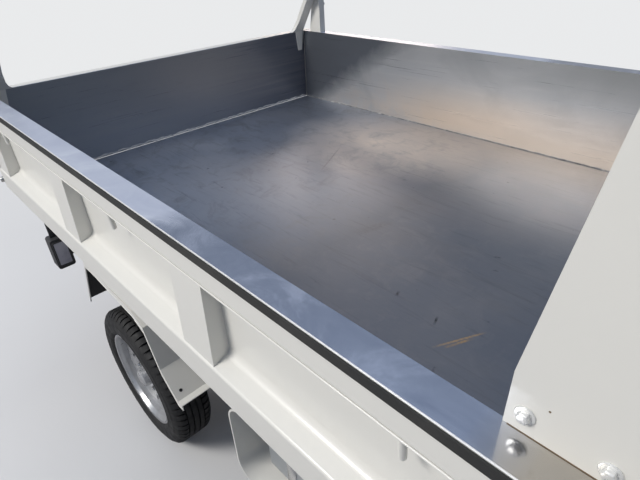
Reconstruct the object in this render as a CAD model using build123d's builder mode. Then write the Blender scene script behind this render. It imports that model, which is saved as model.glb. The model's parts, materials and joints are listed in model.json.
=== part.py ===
from build123d import *
import os
from copy import deepcopy
from math import cos, radians, sin

# One-tonne cab-over tipping truck. +X points forward, +Y to the left, +Z up.
# The origin is on the ground, midway between the ends and the sides. Sizes are in millimetres.

# Clearances
seat_gap = 0.3              # between curved faces that rest on each other
moving_gap = 5              # between pieces that move past each other
pin_play = 0.06             # radial, for a pin in its bore

# Load bed, inside sizes and the height of its floor above the ground
bed_length = 2300
bed_width = 1580
wall_height = 360
floor_height = 870
liner_gauge = 3
floor_plate = 7
wall_thickness = 13
rail_width = 56
lip_depth = 72
strip_height = 17
strip_thickness = 3
sill_height = 78
sill_reach = 62             # sill's outer face beyond the liner
sill_fillet = 22
sill_edge_radius = 7
wall_skirt = 50             # wall below the floor, inside the sill
stake_count = 4
stake_first = 130           # front edge of the rearmost stake, ahead of the tailgate
stake_margin = 125          # front edge of the foremost stake, behind the headboard
stake_width = 113
stake_foot_reach = 58
stake_head_reach = 50
hook_count = 3
hook_first = 260
hook_pitch = 840
hook_radius = 6
hook_drop = 47
hook_top_reach = 48
hook_foot_reach = 43
cross_member_height = 45
cross_member_width = 50
cross_member_count = 7
cross_member_inset = 30
bed_rail_height = 110
bed_rail_width = 60

# Headboard with its two wings
headboard_thickness = 40
headboard_height = 846      # above the bed's floor
wing_thickness = 5
wing_foot = 267             # wing's length along the rail
wing_upright = 74           # height over which its rear edge is upright
wing_lean = 0.131           # how far the edge above leans forward for each unit of height
guard_bar_radius = 15
guard_bar_count = 5
guard_tube = 40
guard_window_sill = 210     # above the side walls

# Tailgate, hung from its top corners
tailgate_thickness = 35
tailgate_rib_depth = 12
tailgate_rib_width = 60
tailgate_rib_count = 4
gate_pivot_ahead = 105
gate_pivot_height = 545     # above the bed's floor
gate_pin_radius = 9
gate_eye_radius = 24
arm_width = 55
arm_flare = 24              # arm's foot beyond its inner edge
flare_points = [(0, 62), (5, 26), (12, 10), (arm_flare, 0)]  # inboard of the arm, above the tailgate
arm_gauge = 22
tongue_foot = 24            # tongue's width at its lower end
tongue_length = 98
tongue_gauge = 5
post_depth = 36
post_foot = 82
post_head = 46
post_rake = 13              # pin ahead of the middle of the post's foot

# Chassis frame
frame_half_width = 375
rail_flange = 60
rail_gauge = 6
rail_height = 120
rail_kick_length = 310
cross_tube_height = 60
cross_tube_width = 60
cab_rest_height = 8         # cab's floor above the front rails
cab_rest_length = 60

# Tipping hinge and hoist, places ahead of the tailgate and heights from the rear rails' top
tip_hinge_ahead = 150
tip_hinge_depth = 35
tip_pin_radius = 16
tip_ear_thickness = 14
hoist_base_ahead = 450
hoist_base_depth = 140
hoist_eye_ahead = 1300
hoist_eye_above = 30
barrel_radius = 42
barrel_length = 560
rod_radius = 24
hoist_pin_radius = 14
hoist_eye_radius = 30
hoist_eye_width = 70
hoist_ear_gauge = 12

# Wheels and tyres
tyre_radius = 283
tyre_width = 150
tyre_shoulder = 264
tyre_crown = 32             # thickness of the tread and what is under it
rim_radius = 179
rim_flange_radius = 191
rim_width = 127
rim_gauge = 5
hub_radius = 34
hub_reach = 58
spindle_radius = 20
wheel_window_count = 8
wheel_window_radius = 14
wheel_window_circle = 129
track_half = 733            # wheel's middle plane from the truck's middle
wheel_face_offset = 14
drum_radius = 125
drum_width = 52

# Axles and springs
rear_setback = 737          # rear axle ahead of the tailgate's inner face
front_overhang = 1241       # nose ahead of the front axle
axle_tube_radius = 38
differential_radius = 125
axle_beam_height = 56
axle_beam_width = 50
kingpin_y = 630
kingpin_radius = 12
kingpin_reach = 22
yoke_gauge = 16
yoke_radius = 26
spring_width = 60
spring_stack = 30
spring_half_length = 500
rear_spring_rise = 84
spring_eye_radius = 17
spring_clamp = 55
spring_y = 345
spring_hanger = 25
pinion_length = 190
pinion_rise = 24
pinion_radius = 55

# Engine and driveline
engine_length = 760
engine_width = 460
engine_base = 385
engine_headroom = 53        # between the engine and the seat deck
engine_setback = 80         # engine's rear face ahead of the cab's back
gearbox_length = 290
gearbox_width = 240
gearbox_height = 200
gearbox_rise = 30
shaft_radius = 32
shaft_flange = 22
exhaust_y = 215
exhaust_z = 440
silencer_setback = 803      # silencer's rear end ahead of the rear axle
silencer_radius = 66
silencer_length = 440
pipe_radius = 22

# Tank, battery box and the guards around them
box_setback = 743           # boxes' rear ends ahead of the rear axle
box_length = 510
box_inner = 430
box_outer = 742
box_height = 210
box_depth = 15              # boxes' tops below the rails' tops
box_bracket = 40
guard_margin = 40
guard_corner = 62
guard_gauge = 5
guard_inner = 700
guard_outer = 795

# Mudguards over the rear wheels: places ahead of the axle and heights above its centre
fender_gauge = 3
fender_inner = 560
fender_outer = 790
fender_lip = 24
fender_points = [(-361, 193), (-250, 418), (-162, 420), (123, 403), (187, 372), (235, 221), (314, 134),
                 (339, 134)]
fender_stays = [(-100, 416), (100, 404)]

# Rear bar and tail lamps
bar_height = 60
bar_depth = 40
bar_drop = 47               # bar's middle below the rails' undersides
tail_lamp_inner = 725
tail_lamp_outer = 798
tail_lamp_length = 60
tail_lamp_height = 146

# Cab
cab_length = 1740
cab_gap = 57                # between headboard and cab
bumper_projection = 58
cab_base = 430
cab_belt = 1150
cab_belt_half = 838
cab_sill_half = 822
cab_shoulder_half = 776
cab_roof = 1900
cab_roof_edge_half = 650
cab_shoulder_drop = 110
cab_roof_edge_drop = 24
cab_wall = 40
screen_foot_back = 170      # windscreen's foot behind the cab's front
screen_foot_height = 1205
screen_foot_half = 720
screen_head_back = 640
screen_head_drop = 100
screen_head_half = 610
rear_window_half = 560
rear_window_base = 1240
rear_window_drop = 200
cab_nose_corner = 190
cab_nose_bow = 45
arch_radius = 345
glass_gauge = 5
glass_inset = 14
door_gap = 6
door_rear_gap = 10
door_rear_ahead = 220       # door's rear edge ahead of the cab's back
door_front_back = 450       # door's front edge behind the cab's front
door_head_back = 735
door_head_drop = 105
door_foot_front = 480
door_foot_rear = 700
door_heel = 343             # rear and front ends of the step over the front wheel
door_toe = 428
hinge_heights = [640, 1060]
hinge_pin_radius = 5
hinge_barrel_radius = 10
hinge_barrel_length = 44
hinge_ahead = 12            # pin ahead of the door's edge
hinge_out = 11              # pin outboard of the widest skin
mirror_width = 140
mirror_height = 215
mirror_depth = 40
mirror_arm_radius = 8
mirror_reach = 110
bumper_drop = 30            # bumper's lower edge below the cab's
bumper_height = 220

# Headlamps and grille slots, distances from the middle and heights above the cab's lower edge
lamp_inner = 520
lamp_outer = 730
lamp_rise = 340
lamp_height = 130
grille_half = 440
grille_rise = 345
grille_pitch = 32
grille_slot = 18
grille_slots = 4

# Inside the cab
cab_floor_height = 560
seat_deck_height = 850
deck_gauge = 12
footwell_setback = 38       # footwell behind the wheel arch
seat_y = 400
seat_width = 480
seat_back_gap = 30
cushion_length = 480
cushion_height = 140
backrest_height = 560
backrest_thickness = 110
steering_wheel_radius = 185
steering_grip_radius = 14
steering_wheel_reach = 270  # ahead of the cushions
steering_wheel_rise = 255   # above the seat deck
steering_column_tilt = 38
column_radius = 32
column_length = 330
steering_shaft_radius = 9
dash_reach = 230            # ahead of the steering wheel

# Worked out from the sizes above, along the truck
overall_length = (moving_gap + tailgate_thickness + tailgate_rib_depth + bed_length + liner_gauge
                  + headboard_thickness + cab_gap + cab_length + bumper_projection)
nose_x = overall_length / 2
tail_x = -overall_length / 2 + moving_gap + tailgate_thickness + tailgate_rib_depth
bed_front_x = tail_x + bed_length
rear_axle_x = tail_x + rear_setback
front_axle_x = nose_x - front_overhang
headboard_x = bed_front_x + liner_gauge
headboard_front_x = headboard_x + headboard_thickness
cab_back_x = headboard_front_x + cab_gap
cab_front_x = nose_x - bumper_projection
hinge_x = tail_x + tip_hinge_ahead
engine_x = cab_back_x + engine_setback
gearbox_x = engine_x - gearbox_length
silencer_x = rear_axle_x + silencer_setback
silencer_end = silencer_x + silencer_length
box_rear_x = rear_axle_x + box_setback
box_front_x = box_rear_x + box_length
kick_start_x = bed_front_x - rail_kick_length / 2
kick_end_x = bed_front_x + rail_kick_length / 2
frame_nose_x = nose_x - 138
cross_tubes = [hinge_x + 35, tail_x + hoist_base_ahead - 80, rear_axle_x + 683, silencer_x + 360,
               engine_x + engine_length + 180, nose_x - 178]
door_rear_x = cab_back_x + door_rear_ahead
door_front_x = cab_front_x - door_front_back
door_head_x = cab_front_x - door_head_back
nose_split_x = door_front_x + 40
screen_zone_x = cab_front_x - screen_head_back - 300
deck_x = front_axle_x + arch_radius + footwell_setback
seat_back_x = cab_back_x + cab_wall + seat_back_gap
cushion_front_x = seat_back_x + backrest_thickness + cushion_length
steering_wheel_x = cushion_front_x + steering_wheel_reach
dash_x = steering_wheel_x + dash_reach

# Worked out, across the truck
bed_half = bed_width / 2
rail_outer = bed_half + rail_width
wall_inner = bed_half + liner_gauge
wall_outer = wall_inner + wall_thickness
deck_half = cab_sill_half - cab_wall - moving_gap
arm_outer = bed_half - moving_gap
arm_inner = arm_outer - arm_width

# Worked out, heights
wall_top = floor_height + wall_height
floor_base = floor_height - liner_gauge - floor_plate
bed_rail_top = floor_base - cross_member_height
bed_rail_base = bed_rail_top - bed_rail_height
rail_top_rear = bed_rail_base - moving_gap
rail_top_front = cab_floor_height - deck_gauge - cab_rest_height
rail_base_rear = rail_top_rear - rail_height
rail_base_front = rail_top_front - rail_height
tip_hinge_height = rail_top_rear - tip_hinge_depth
hoist_base_height = rail_top_rear - hoist_base_depth
hoist_eye_height = rail_top_rear + hoist_eye_above
box_top = rail_top_rear - box_depth
box_base = box_top - box_height
bar_z = rail_base_rear - bar_drop
cab_shoulder = cab_roof - cab_shoulder_drop
cab_roof_edge = cab_roof - cab_roof_edge_drop
screen_head_height = cab_roof - screen_head_drop
door_head = cab_roof - door_head_drop
rear_window_top = cab_roof - rear_window_drop
steering_wheel_height = seat_deck_height + steering_wheel_rise
engine_top = seat_deck_height - deck_gauge - engine_headroom
rear_spring_base = tyre_radius + axle_tube_radius
front_spring_base = tyre_radius + axle_beam_height / 2
front_spring_rise = (rail_base_front - 3 - 2 * seat_gap - spring_stack / 6 - spring_eye_radius
                     - front_spring_base)

os.makedirs("parts", exist_ok=True)


def block(x_span, y_span, z_span, mode=Mode.ADD):
    """A box between two X, two Y and two Z values."""
    spans = (x_span, y_span, z_span)
    middle = tuple((low + high) / 2 for low, high in spans)
    size = tuple(high - low for low, high in spans)
    with Locations(middle):
        Box(*size, mode=mode)


def side_prism(points, y_low, y_high, mode=Mode.ADD, corner=0):
    """A prism along Y from an outline of X and Z values."""
    with BuildSketch(Plane.XZ.offset(-y_high)) as outline:
        with BuildLine():
            Polyline(*points, close=True)
        make_face()
        if corner:
            fillet(outline.vertices(), corner)
    extrude(outline.sketch, amount=y_high - y_low, mode=mode)


def front_prism(points, x_low, x_high, mode=Mode.ADD, corner=0):
    """A prism along X from an outline of Y and Z values."""
    with BuildSketch(Plane.YZ.offset(x_low)) as outline:
        with BuildLine():
            Polyline(*points, close=True)
        make_face()
        if corner:
            fillet(outline.vertices(), corner)
    extrude(outline.sketch, amount=x_high - x_low, mode=mode)


def rod_between(start, end, radius, mode=Mode.ADD):
    """A round bar from one point to another."""
    along = Vector(*end) - Vector(*start)
    with BuildSketch(Plane(origin=start, z_dir=along)) as end_face:
        Circle(radius)
    extrude(end_face.sketch, amount=along.length, mode=mode)


def finish(part, name):
    """Labels a finished piece and writes its file."""
    part.label = name
    export_step(part, f"parts/{name}.step")


def rail_base_at(x):
    """Height of the frame rails' underside at that place along the truck."""
    share = min(max((x - kick_start_x) / rail_kick_length, 0), 1)
    return rail_base_rear + share * (rail_base_front - rail_base_rear)


def spring_tip(base, rise):
    """Height of a spring's eyes above the ground."""
    return base + seat_gap + rise + spring_stack / 6


# Chassis frame: two channel rails that drop under the cab, and their cross members
packs = [
    (rear_axle_x, rear_spring_base, rear_spring_rise, rail_base_rear),
    (front_axle_x, front_spring_base, front_spring_rise, rail_base_front),
]
with BuildPart() as chassis_frame:
    top_line = [
        (hinge_x, rail_top_rear),
        (kick_start_x, rail_top_rear),
        (kick_end_x, rail_top_front),
        (frame_nose_x, rail_top_front),
    ]
    outline = top_line + [(x, z - rail_height) for x, z in reversed(top_line)]
    side_prism(outline, -frame_half_width, -frame_half_width + rail_flange)
    # Their rear ends are rounded about the tipping hinge
    block((hinge_x - tip_hinge_depth, hinge_x), (-frame_half_width, -frame_half_width + rail_flange),
          (rail_base_rear, tip_hinge_height))
    with Locations(Plane(origin=(hinge_x, -frame_half_width + rail_flange / 2, tip_hinge_height),
                         z_dir=(0, 1, 0))):
        Cylinder(tip_hinge_depth, rail_flange)
    pocket_top = [(x, z - rail_gauge) for x, z in top_line]
    pocket = pocket_top + [(x, z - rail_height + 2 * rail_gauge) for x, z in reversed(pocket_top)]
    side_prism(pocket, -frame_half_width + rail_gauge, -frame_half_width + rail_flange, Mode.SUBTRACT)
    mirror(about=Plane.XZ)
    for x in cross_tubes:
        base = rail_base_at(x)
        block((x - cross_tube_width / 2, x + cross_tube_width / 2),
              (-frame_half_width + rail_gauge, frame_half_width - rail_gauge),
              (base, base + cross_tube_height))
    # Spring hangers under the rails
    for axle_x, spring_base, rise, rail_base in packs:
        for end in (-1, 1):
            for side in (-1, 1):
                x = axle_x + end * spring_half_length
                block((x - spring_hanger, x + spring_hanger),
                      (side * spring_y - spring_width / 2, side * spring_y + spring_width / 2),
                      (spring_tip(spring_base, rise) + spring_eye_radius + seat_gap,
                       rail_base + rail_gauge))
    # Rests under the cab's footwell and its seat deck, and the engine's brackets
    rests = [
        (front_axle_x + 523, cab_floor_height - deck_gauge),
        (front_axle_x + 923, cab_floor_height - deck_gauge),
        (cab_back_x + 100, seat_deck_height - deck_gauge),
    ]
    for side in (-1, 1):
        y_span = tuple(sorted((side * (frame_half_width - rail_flange), side * frame_half_width)))
        for x, underside in rests:
            block((x - cab_rest_length / 2, x + cab_rest_length / 2), y_span,
                  (rail_top_front - rail_gauge, underside - seat_gap))
        block((engine_x + 330, engine_x + 400),
              tuple(sorted((side * (engine_width / 2 + seat_gap), side * (frame_half_width - 1)))),
              (engine_base + 75, engine_base + 100))
    # Pins of the tipping hinge, through the rails' webs
    for side in (-1, 1):
        rod_between((hinge_x, side * (frame_half_width - rail_gauge), tip_hinge_height),
                    (hinge_x, side * (frame_half_width + 34), tip_hinge_height), tip_pin_radius)
    # Ears and pin for the hoist's base
    ear_inner = max(hoist_eye_width / 2, barrel_radius + 5) + moving_gap
    for side in (-1, 1):
        block((tail_x + hoist_base_ahead - 55, tail_x + hoist_base_ahead + 26),
              tuple(sorted((side * ear_inner, side * (ear_inner + hoist_ear_gauge)))),
              (hoist_base_height - 26, hoist_base_height + 60))
    rod_between((tail_x + hoist_base_ahead, -ear_inner - hoist_ear_gauge, hoist_base_height),
                (tail_x + hoist_base_ahead, ear_inner + hoist_ear_gauge, hoist_base_height),
                hoist_pin_radius)
finish(chassis_frame.part, "chassis_frame")

# Rear axle with differential, brake drums and spindles
with BuildPart() as rear_axle:
    tube_half = track_half + wheel_face_offset - drum_width
    rod_between((rear_axle_x, -tube_half, tyre_radius), (rear_axle_x, tube_half, tyre_radius),
                axle_tube_radius)
    with Locations((rear_axle_x, 0, tyre_radius)):
        Sphere(differential_radius)
    rod_between((rear_axle_x, 0, tyre_radius),
                (rear_axle_x + pinion_length, 0, tyre_radius + pinion_rise), pinion_radius)
    for side in (-1, 1):
        # Flat seat for the spring
        block((rear_axle_x - spring_clamp, rear_axle_x + spring_clamp),
              (side * spring_y - spring_width / 2, side * spring_y + spring_width / 2),
              (tyre_radius, rear_spring_base))
        face = side * (track_half + wheel_face_offset - 8)
        rod_between((rear_axle_x, face - side * drum_width, tyre_radius),
                    (rear_axle_x, face, tyre_radius), drum_radius)
        rod_between((rear_axle_x, face, tyre_radius),
                    (rear_axle_x, side * (track_half + wheel_face_offset + 30), tyre_radius), spindle_radius)
finish(rear_axle.part, "rear_axle")

# Front axle beam with an upright pin at each end
eye_half_height = axle_beam_height / 2
with BuildPart() as front_axle:
    beam_half = kingpin_y - 20
    block((front_axle_x - axle_beam_width / 2, front_axle_x + axle_beam_width / 2),
          (-beam_half, beam_half),
          (tyre_radius - eye_half_height, tyre_radius + eye_half_height))
    for face in (-1, 1):
        x_span = sorted((front_axle_x + face * 8, front_axle_x + face * axle_beam_width / 2))
        block(tuple(x_span), (-beam_half + 70, beam_half - 70),
              (tyre_radius - eye_half_height + 12, tyre_radius + eye_half_height - 12), Mode.SUBTRACT)
    for side in (-1, 1):
        with Locations((front_axle_x, side * kingpin_y, tyre_radius)):
            Cylinder(yoke_radius - 2, 2 * eye_half_height)
            Cylinder(kingpin_radius, 2 * (eye_half_height + kingpin_reach))
finish(front_axle.part, "front_axle")

# Steering knuckles: a yoke on the upright pin, a brake drum plate and the wheel's spindle
yoke_inner = eye_half_height + 3
knuckle_plate_y = kingpin_y + yoke_radius + 6
for side, name in ((-1, "knuckle_right"), (1, "knuckle_left")):
    with BuildPart() as knuckle:
        for level in (-1, 1):
            z_span = sorted((tyre_radius + level * yoke_inner,
                             tyre_radius + level * (yoke_inner + yoke_gauge)))
            with Locations((front_axle_x, side * kingpin_y, sum(z_span) / 2)):
                Cylinder(yoke_radius, yoke_gauge)
            block((front_axle_x - yoke_radius, front_axle_x + yoke_radius),
                  tuple(sorted((side * kingpin_y, side * (knuckle_plate_y + 10)))), tuple(z_span))
        block((front_axle_x - yoke_radius, front_axle_x + yoke_radius),
              tuple(sorted((side * knuckle_plate_y, side * (knuckle_plate_y + 10)))),
              (tyre_radius - yoke_inner - yoke_gauge, tyre_radius + yoke_inner + yoke_gauge))
        face = side * (track_half + wheel_face_offset - 8)
        rod_between((front_axle_x, side * (knuckle_plate_y + 10), tyre_radius),
                    (front_axle_x, face, tyre_radius), drum_radius)
        rod_between((front_axle_x, face, tyre_radius),
                    (front_axle_x, side * (track_half + wheel_face_offset + 30), tyre_radius), spindle_radius)
        with Locations((front_axle_x, side * kingpin_y, tyre_radius)):
            Cylinder(kingpin_radius + pin_play, 4 * yoke_inner, mode=Mode.SUBTRACT)
        # Steering arm towards the rear
        block((front_axle_x - 150, front_axle_x - yoke_radius + 4),
              tuple(sorted((side * (kingpin_y - 14), side * (kingpin_y + 14)))),
              (tyre_radius - yoke_inner - yoke_gauge, tyre_radius - yoke_inner))
    finish(knuckle.part, name)

# Leaf springs: four bowed packs that rest on the axles and meet the hangers
with BuildPart() as leaf_springs:
    for axle_x, base, rise, rail_base in packs:
        seat = base + seat_gap
        with BuildSketch(Plane.XZ.offset(-spring_y - spring_width / 2)):
            with BuildLine():
                ends = [axle_x - spring_half_length, axle_x + spring_half_length]
                ThreePointArc((ends[0], seat + rise), (axle_x, seat), (ends[1], seat + rise))
                Line((ends[1], seat + rise), (ends[1], seat + rise + spring_stack / 3))
                ThreePointArc((ends[1], seat + rise + spring_stack / 3),
                              (axle_x, seat + spring_stack),
                              (ends[0], seat + rise + spring_stack / 3))
                Line((ends[0], seat + rise + spring_stack / 3), (ends[0], seat + rise))
            make_face()
        extrude(amount=spring_width)
        # Clamp over the axle and an eye at each end
        block((axle_x - spring_clamp, axle_x + spring_clamp),
              (spring_y - spring_width / 2, spring_y + spring_width / 2), (seat, seat + spring_stack + 10))
        for x in ends:
            rod_between((x, spring_y - spring_width / 2, spring_tip(base, rise)),
                        (x, spring_y + spring_width / 2, spring_tip(base, rise)), spring_eye_radius)
    mirror(about=Plane.XZ)
finish(leaf_springs.part, "leaf_springs")

# Engine with its gearbox, one plain stepped block
with BuildPart() as engine_block:
    block((engine_x, engine_x + engine_length), (-engine_width / 2, engine_width / 2),
          (engine_base, engine_top))
    block((gearbox_x, engine_x), (-gearbox_width / 2, gearbox_width / 2),
          (engine_base + gearbox_rise, engine_base + gearbox_rise + gearbox_height))
finish(engine_block.part, "engine_block")

# Driveshaft from the gearbox to the differential
with BuildPart() as driveshaft:
    shaft_front = Vector(gearbox_x, 0, engine_base + 120)
    shaft_rear = Vector(rear_axle_x + pinion_length, 0, tyre_radius + pinion_rise)
    pinion_dir = Vector(pinion_length, 0, pinion_rise).normalized()
    rear_flange = shaft_rear + pinion_dir * shaft_flange
    front_flange = shaft_front - Vector(shaft_flange, 0, 0)
    rod_between(tuple(shaft_rear + pinion_dir * seat_gap), tuple(rear_flange), shaft_radius + 18)
    rod_between(tuple(front_flange), tuple(shaft_front - Vector(seat_gap, 0, 0)), shaft_radius + 18)
    rod_between(tuple(rear_flange - pinion_dir * 3), tuple(front_flange + Vector(3, 0, 0)), shaft_radius)
finish(driveshaft.part, "driveshaft")

# Exhaust: front pipe, silencer and tail pipe to the left side
with BuildPart() as exhaust:
    rod_between((silencer_x, exhaust_y, exhaust_z), (silencer_end, exhaust_y, exhaust_z), silencer_radius)
    rod_between((silencer_end, exhaust_y, exhaust_z), (engine_x - 20, exhaust_y, exhaust_z), pipe_radius)
    with BuildLine() as tail_route:
        FilletPolyline(
            (silencer_x + 2, exhaust_y, exhaust_z),
            (silencer_x - 190, exhaust_y, exhaust_z),
            (silencer_x - 190, 700, exhaust_z - 60),
            radius=70)
    with BuildSketch(Plane(origin=tail_route.line @ 0, z_dir=tail_route.line % 0)):
        Circle(pipe_radius)
    sweep()
    block((silencer_x + 345, silencer_x + 375), (exhaust_y - 15, exhaust_y + 15),
          (exhaust_z + silencer_radius - 6, rail_base_rear - seat_gap))
finish(exhaust.part, "exhaust")

# Fuel tank on the right and battery box on the left, bolted to the rails
for side, name in ((-1, "fuel_tank"), (1, "battery_box")):
    with BuildPart() as tank:
        y_span = tuple(sorted((side * box_inner, side * box_outer)))
        block((box_rear_x, box_front_x), y_span, (box_base, box_top))
        fillet(tank.edges().filter_by(Axis.X), 32)
        for x in (box_rear_x + 110, box_front_x - 110):
            y_span = tuple(sorted((side * (frame_half_width + seat_gap), side * (box_inner + 2))))
            block((x - box_bracket / 2, x + box_bracket / 2), y_span, (rail_base_rear + 5, box_top - 50))
    finish(tank.part, name)

# Guards: a bent plate round each box
with BuildPart() as box_guards:
    low_x = box_rear_x - 2 * guard_margin
    high_x = box_front_x + guard_margin
    low_z = box_base - guard_margin
    high_z = box_top + guard_margin
    with BuildSketch(Plane.XZ.offset(guard_inner)):
        with Locations(((low_x + high_x) / 2, (low_z + high_z) / 2)):
            RectangleRounded(high_x - low_x, high_z - low_z, guard_corner)
            RectangleRounded(high_x - low_x - 2 * guard_gauge, high_z - low_z - 2 * guard_gauge,
                             guard_corner - guard_gauge, mode=Mode.SUBTRACT)
    extrude(amount=guard_outer - guard_inner)
    stay_z = (rail_top_rear - 2 * guard_gauge, rail_top_rear - guard_gauge)
    for x in (low_x + 100, high_x - 100):
        block((x - 15, x + 15), (-guard_inner - 20, -frame_half_width - seat_gap), stay_z)
        block((x - 15, x + 15), (-guard_inner - 20, -guard_inner - 10), (stay_z[0], high_z - 1))
        block((x - 15, x + 15), (-frame_half_width - seat_gap - rail_gauge, -frame_half_width - seat_gap),
              (rail_top_rear - 60, stay_z[1]))
    mirror(about=Plane.XZ)
finish(box_guards.part, "box_guards")

# Mudguards over the rear wheels, with a folded outer lip, and their stays
with BuildPart() as rear_fenders:
    upper = [(rear_axle_x + ahead, tyre_radius + up) for ahead, up in fender_points]
    lower = [(x, z - fender_gauge) for x, z in reversed(upper)]
    lip = [(x, z - fender_lip) for x, z in reversed(upper)]
    side_prism(upper + lower, -fender_outer, -fender_inner)
    side_prism(upper + lip, -fender_outer, -fender_outer + fender_gauge)
    for ahead, up in fender_stays:
        x = rear_axle_x + ahead
        block((x - 15, x + 15), (-fender_inner - 10, -frame_half_width - seat_gap),
              (tyre_radius + up - 4 * fender_gauge, tyre_radius + up - fender_gauge / 2))
    mirror(about=Plane.XZ)
finish(rear_fenders.part, "rear_fenders")

# Rear bar on two stays, with the brackets that carry the tail lamps
bar_x = tail_x + tail_lamp_length / 2
bar_half = tail_lamp_inner - seat_gap
stay_y = frame_half_width - rail_flange + 7
with BuildPart() as rear_bar:
    block((bar_x - bar_depth / 2, bar_x + bar_depth / 2), (-bar_half, bar_half),
          (bar_z - bar_height / 2, bar_z + bar_height / 2))
    fillet(rear_bar.edges().filter_by(Axis.Y), 8)
    # The stays rise only under the rails' ends, clear of the bed as it tips
    riser_x = hinge_x - tip_hinge_depth + 3
    side_prism([(bar_x, bar_z - 25), (hinge_x + 25, bar_z - 25), (hinge_x + 25, rail_base_rear - seat_gap),
                (riser_x, rail_base_rear - seat_gap), (riser_x, bar_z + 25), (bar_x, bar_z + 25)],
               -stay_y - bar_depth, -stay_y)
    side_prism([(bar_x, bar_z - 25), (hinge_x + 25, bar_z - 25), (hinge_x + 25, rail_base_rear - seat_gap),
                (riser_x, rail_base_rear - seat_gap), (riser_x, bar_z + 25), (bar_x, bar_z + 25)],
               stay_y, stay_y + bar_depth)
finish(rear_bar.part, "rear_bar")

# Tail lamps: a housing with a lens face at the rear, on the ends of the rear bar
with BuildPart() as tail_lamps:
    for side in (-1, 1):
        block((tail_x, tail_x + tail_lamp_length),
              tuple(sorted((side * tail_lamp_inner, side * tail_lamp_outer))),
              (bar_z - tail_lamp_height / 2, bar_z + tail_lamp_height / 2))
    fillet(tail_lamps.edges().filter_by(Axis.X), 12)
finish(tail_lamps.part, "tail_lamps")


def wheel_plane(x, side):
    """A plane at a wheel's middle whose normal points outboard."""
    return Plane(origin=(x, side * track_half, tyre_radius), x_dir=(1, 0, 0), z_dir=(0, side, 0))


# Wheels and tyres, from half sections turned about the axle. Section points are radius and reach outboard.
corners = [
    ("rear_right", rear_axle_x, -1), ("rear_left", rear_axle_x, 1),
    ("front_right", front_axle_x, -1), ("front_left", front_axle_x, 1),
]
for corner_name, axle_x, side in corners:
    middle = wheel_plane(axle_x, side)
    spin = Axis(middle.origin, middle.z_dir)
    section = Plane(origin=middle.origin, x_dir=(1, 0, 0), z_dir=middle.x_dir.cross(middle.z_dir))
    half_rim = rim_width / 2
    barrel_inner = rim_radius - rim_gauge
    disc_outer = barrel_inner - 22
    disc_inner = disc_outer - 38
    tyre_middle = (tyre_shoulder + rim_flange_radius) / 2
    tyre_inside = tyre_radius - tyre_crown
    with BuildPart() as rim:
        reach = section.y_dir.dot(middle.z_dir)
        with BuildSketch(section):
            with BuildLine():
                Polyline(*[(radius, reach * out) for radius, out in (
                    (rim_flange_radius, -half_rim), (rim_flange_radius, -half_rim + rim_gauge),
                    (rim_radius, -half_rim + 12), (rim_radius, half_rim - 12),
                    (rim_flange_radius, half_rim - rim_gauge), (rim_flange_radius, half_rim),
                    (rim_radius + 2, half_rim), (barrel_inner, half_rim - 14),
                    (barrel_inner, wheel_face_offset + 16), (disc_outer, wheel_face_offset + 16),
                    (disc_inner, wheel_face_offset + 4), (disc_inner - 16, wheel_face_offset + 18),
                    (74, wheel_face_offset + 18), (64, wheel_face_offset + 8),
                    (hub_radius, wheel_face_offset + 8), (hub_radius, hub_reach), (0, hub_reach + 6),
                    (0, wheel_face_offset), (disc_inner - 8, wheel_face_offset),
                    (disc_inner, wheel_face_offset - 6), (disc_outer, wheel_face_offset + 6),
                    (barrel_inner, wheel_face_offset + 6), (barrel_inner, -half_rim + 10),
                    (barrel_inner + 6, -half_rim))], close=True)
            make_face()
        revolve(axis=spin)
        with Locations(middle.offset(wheel_face_offset + 10)):
            with PolarLocations(wheel_window_circle, wheel_window_count):
                Cylinder(wheel_window_radius, 50, mode=Mode.SUBTRACT)
        with Locations(middle.offset(wheel_face_offset + 15)):
            Cylinder(spindle_radius + pin_play, 32, mode=Mode.SUBTRACT)
    finish(rim.part, f"wheel_{corner_name}")
    with BuildPart() as tyre:
        half = tyre_width / 2
        bead = rim_radius + seat_gap
        with BuildSketch(section):
            with BuildLine():
                Polyline((tyre_shoulder, -reach * (half - 8)), (tyre_radius, -reach * (half - 26)),
                         (tyre_radius, reach * (half - 26)), (tyre_shoulder, reach * (half - 8)))
                ThreePointArc((tyre_shoulder, reach * (half - 8)), (tyre_middle, reach * half),
                              (rim_flange_radius + 4, reach * (half_rim - 4)))
                Polyline((rim_flange_radius + 4, reach * (half_rim - 4)),
                         (rim_flange_radius, reach * (half_rim - rim_gauge - 2 * seat_gap)),
                         (bead, reach * (half_rim - 12 - 2 * seat_gap)), (bead, reach * (half_rim - 34)),
                         (rim_radius + 34, reach * (half_rim - 30)),
                         (tyre_inside, reach * (half_rim - 24)),
                         (tyre_inside, -reach * (half_rim - 24)),
                         (rim_radius + 34, -reach * (half_rim - 30)),
                         (bead, -reach * (half_rim - 34)), (bead, -reach * (half_rim - 12 - 2 * seat_gap)),
                         (rim_flange_radius, -reach * (half_rim - rim_gauge - 2 * seat_gap)),
                         (rim_flange_radius + 4, -reach * (half_rim - 4)))
                ThreePointArc((rim_flange_radius + 4, -reach * (half_rim - 4)), (tyre_middle, -reach * half),
                              (tyre_shoulder, -reach * (half - 8)))
            make_face()
        revolve(axis=spin)
    finish(tyre.part, f"tyre_{corner_name}")

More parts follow.
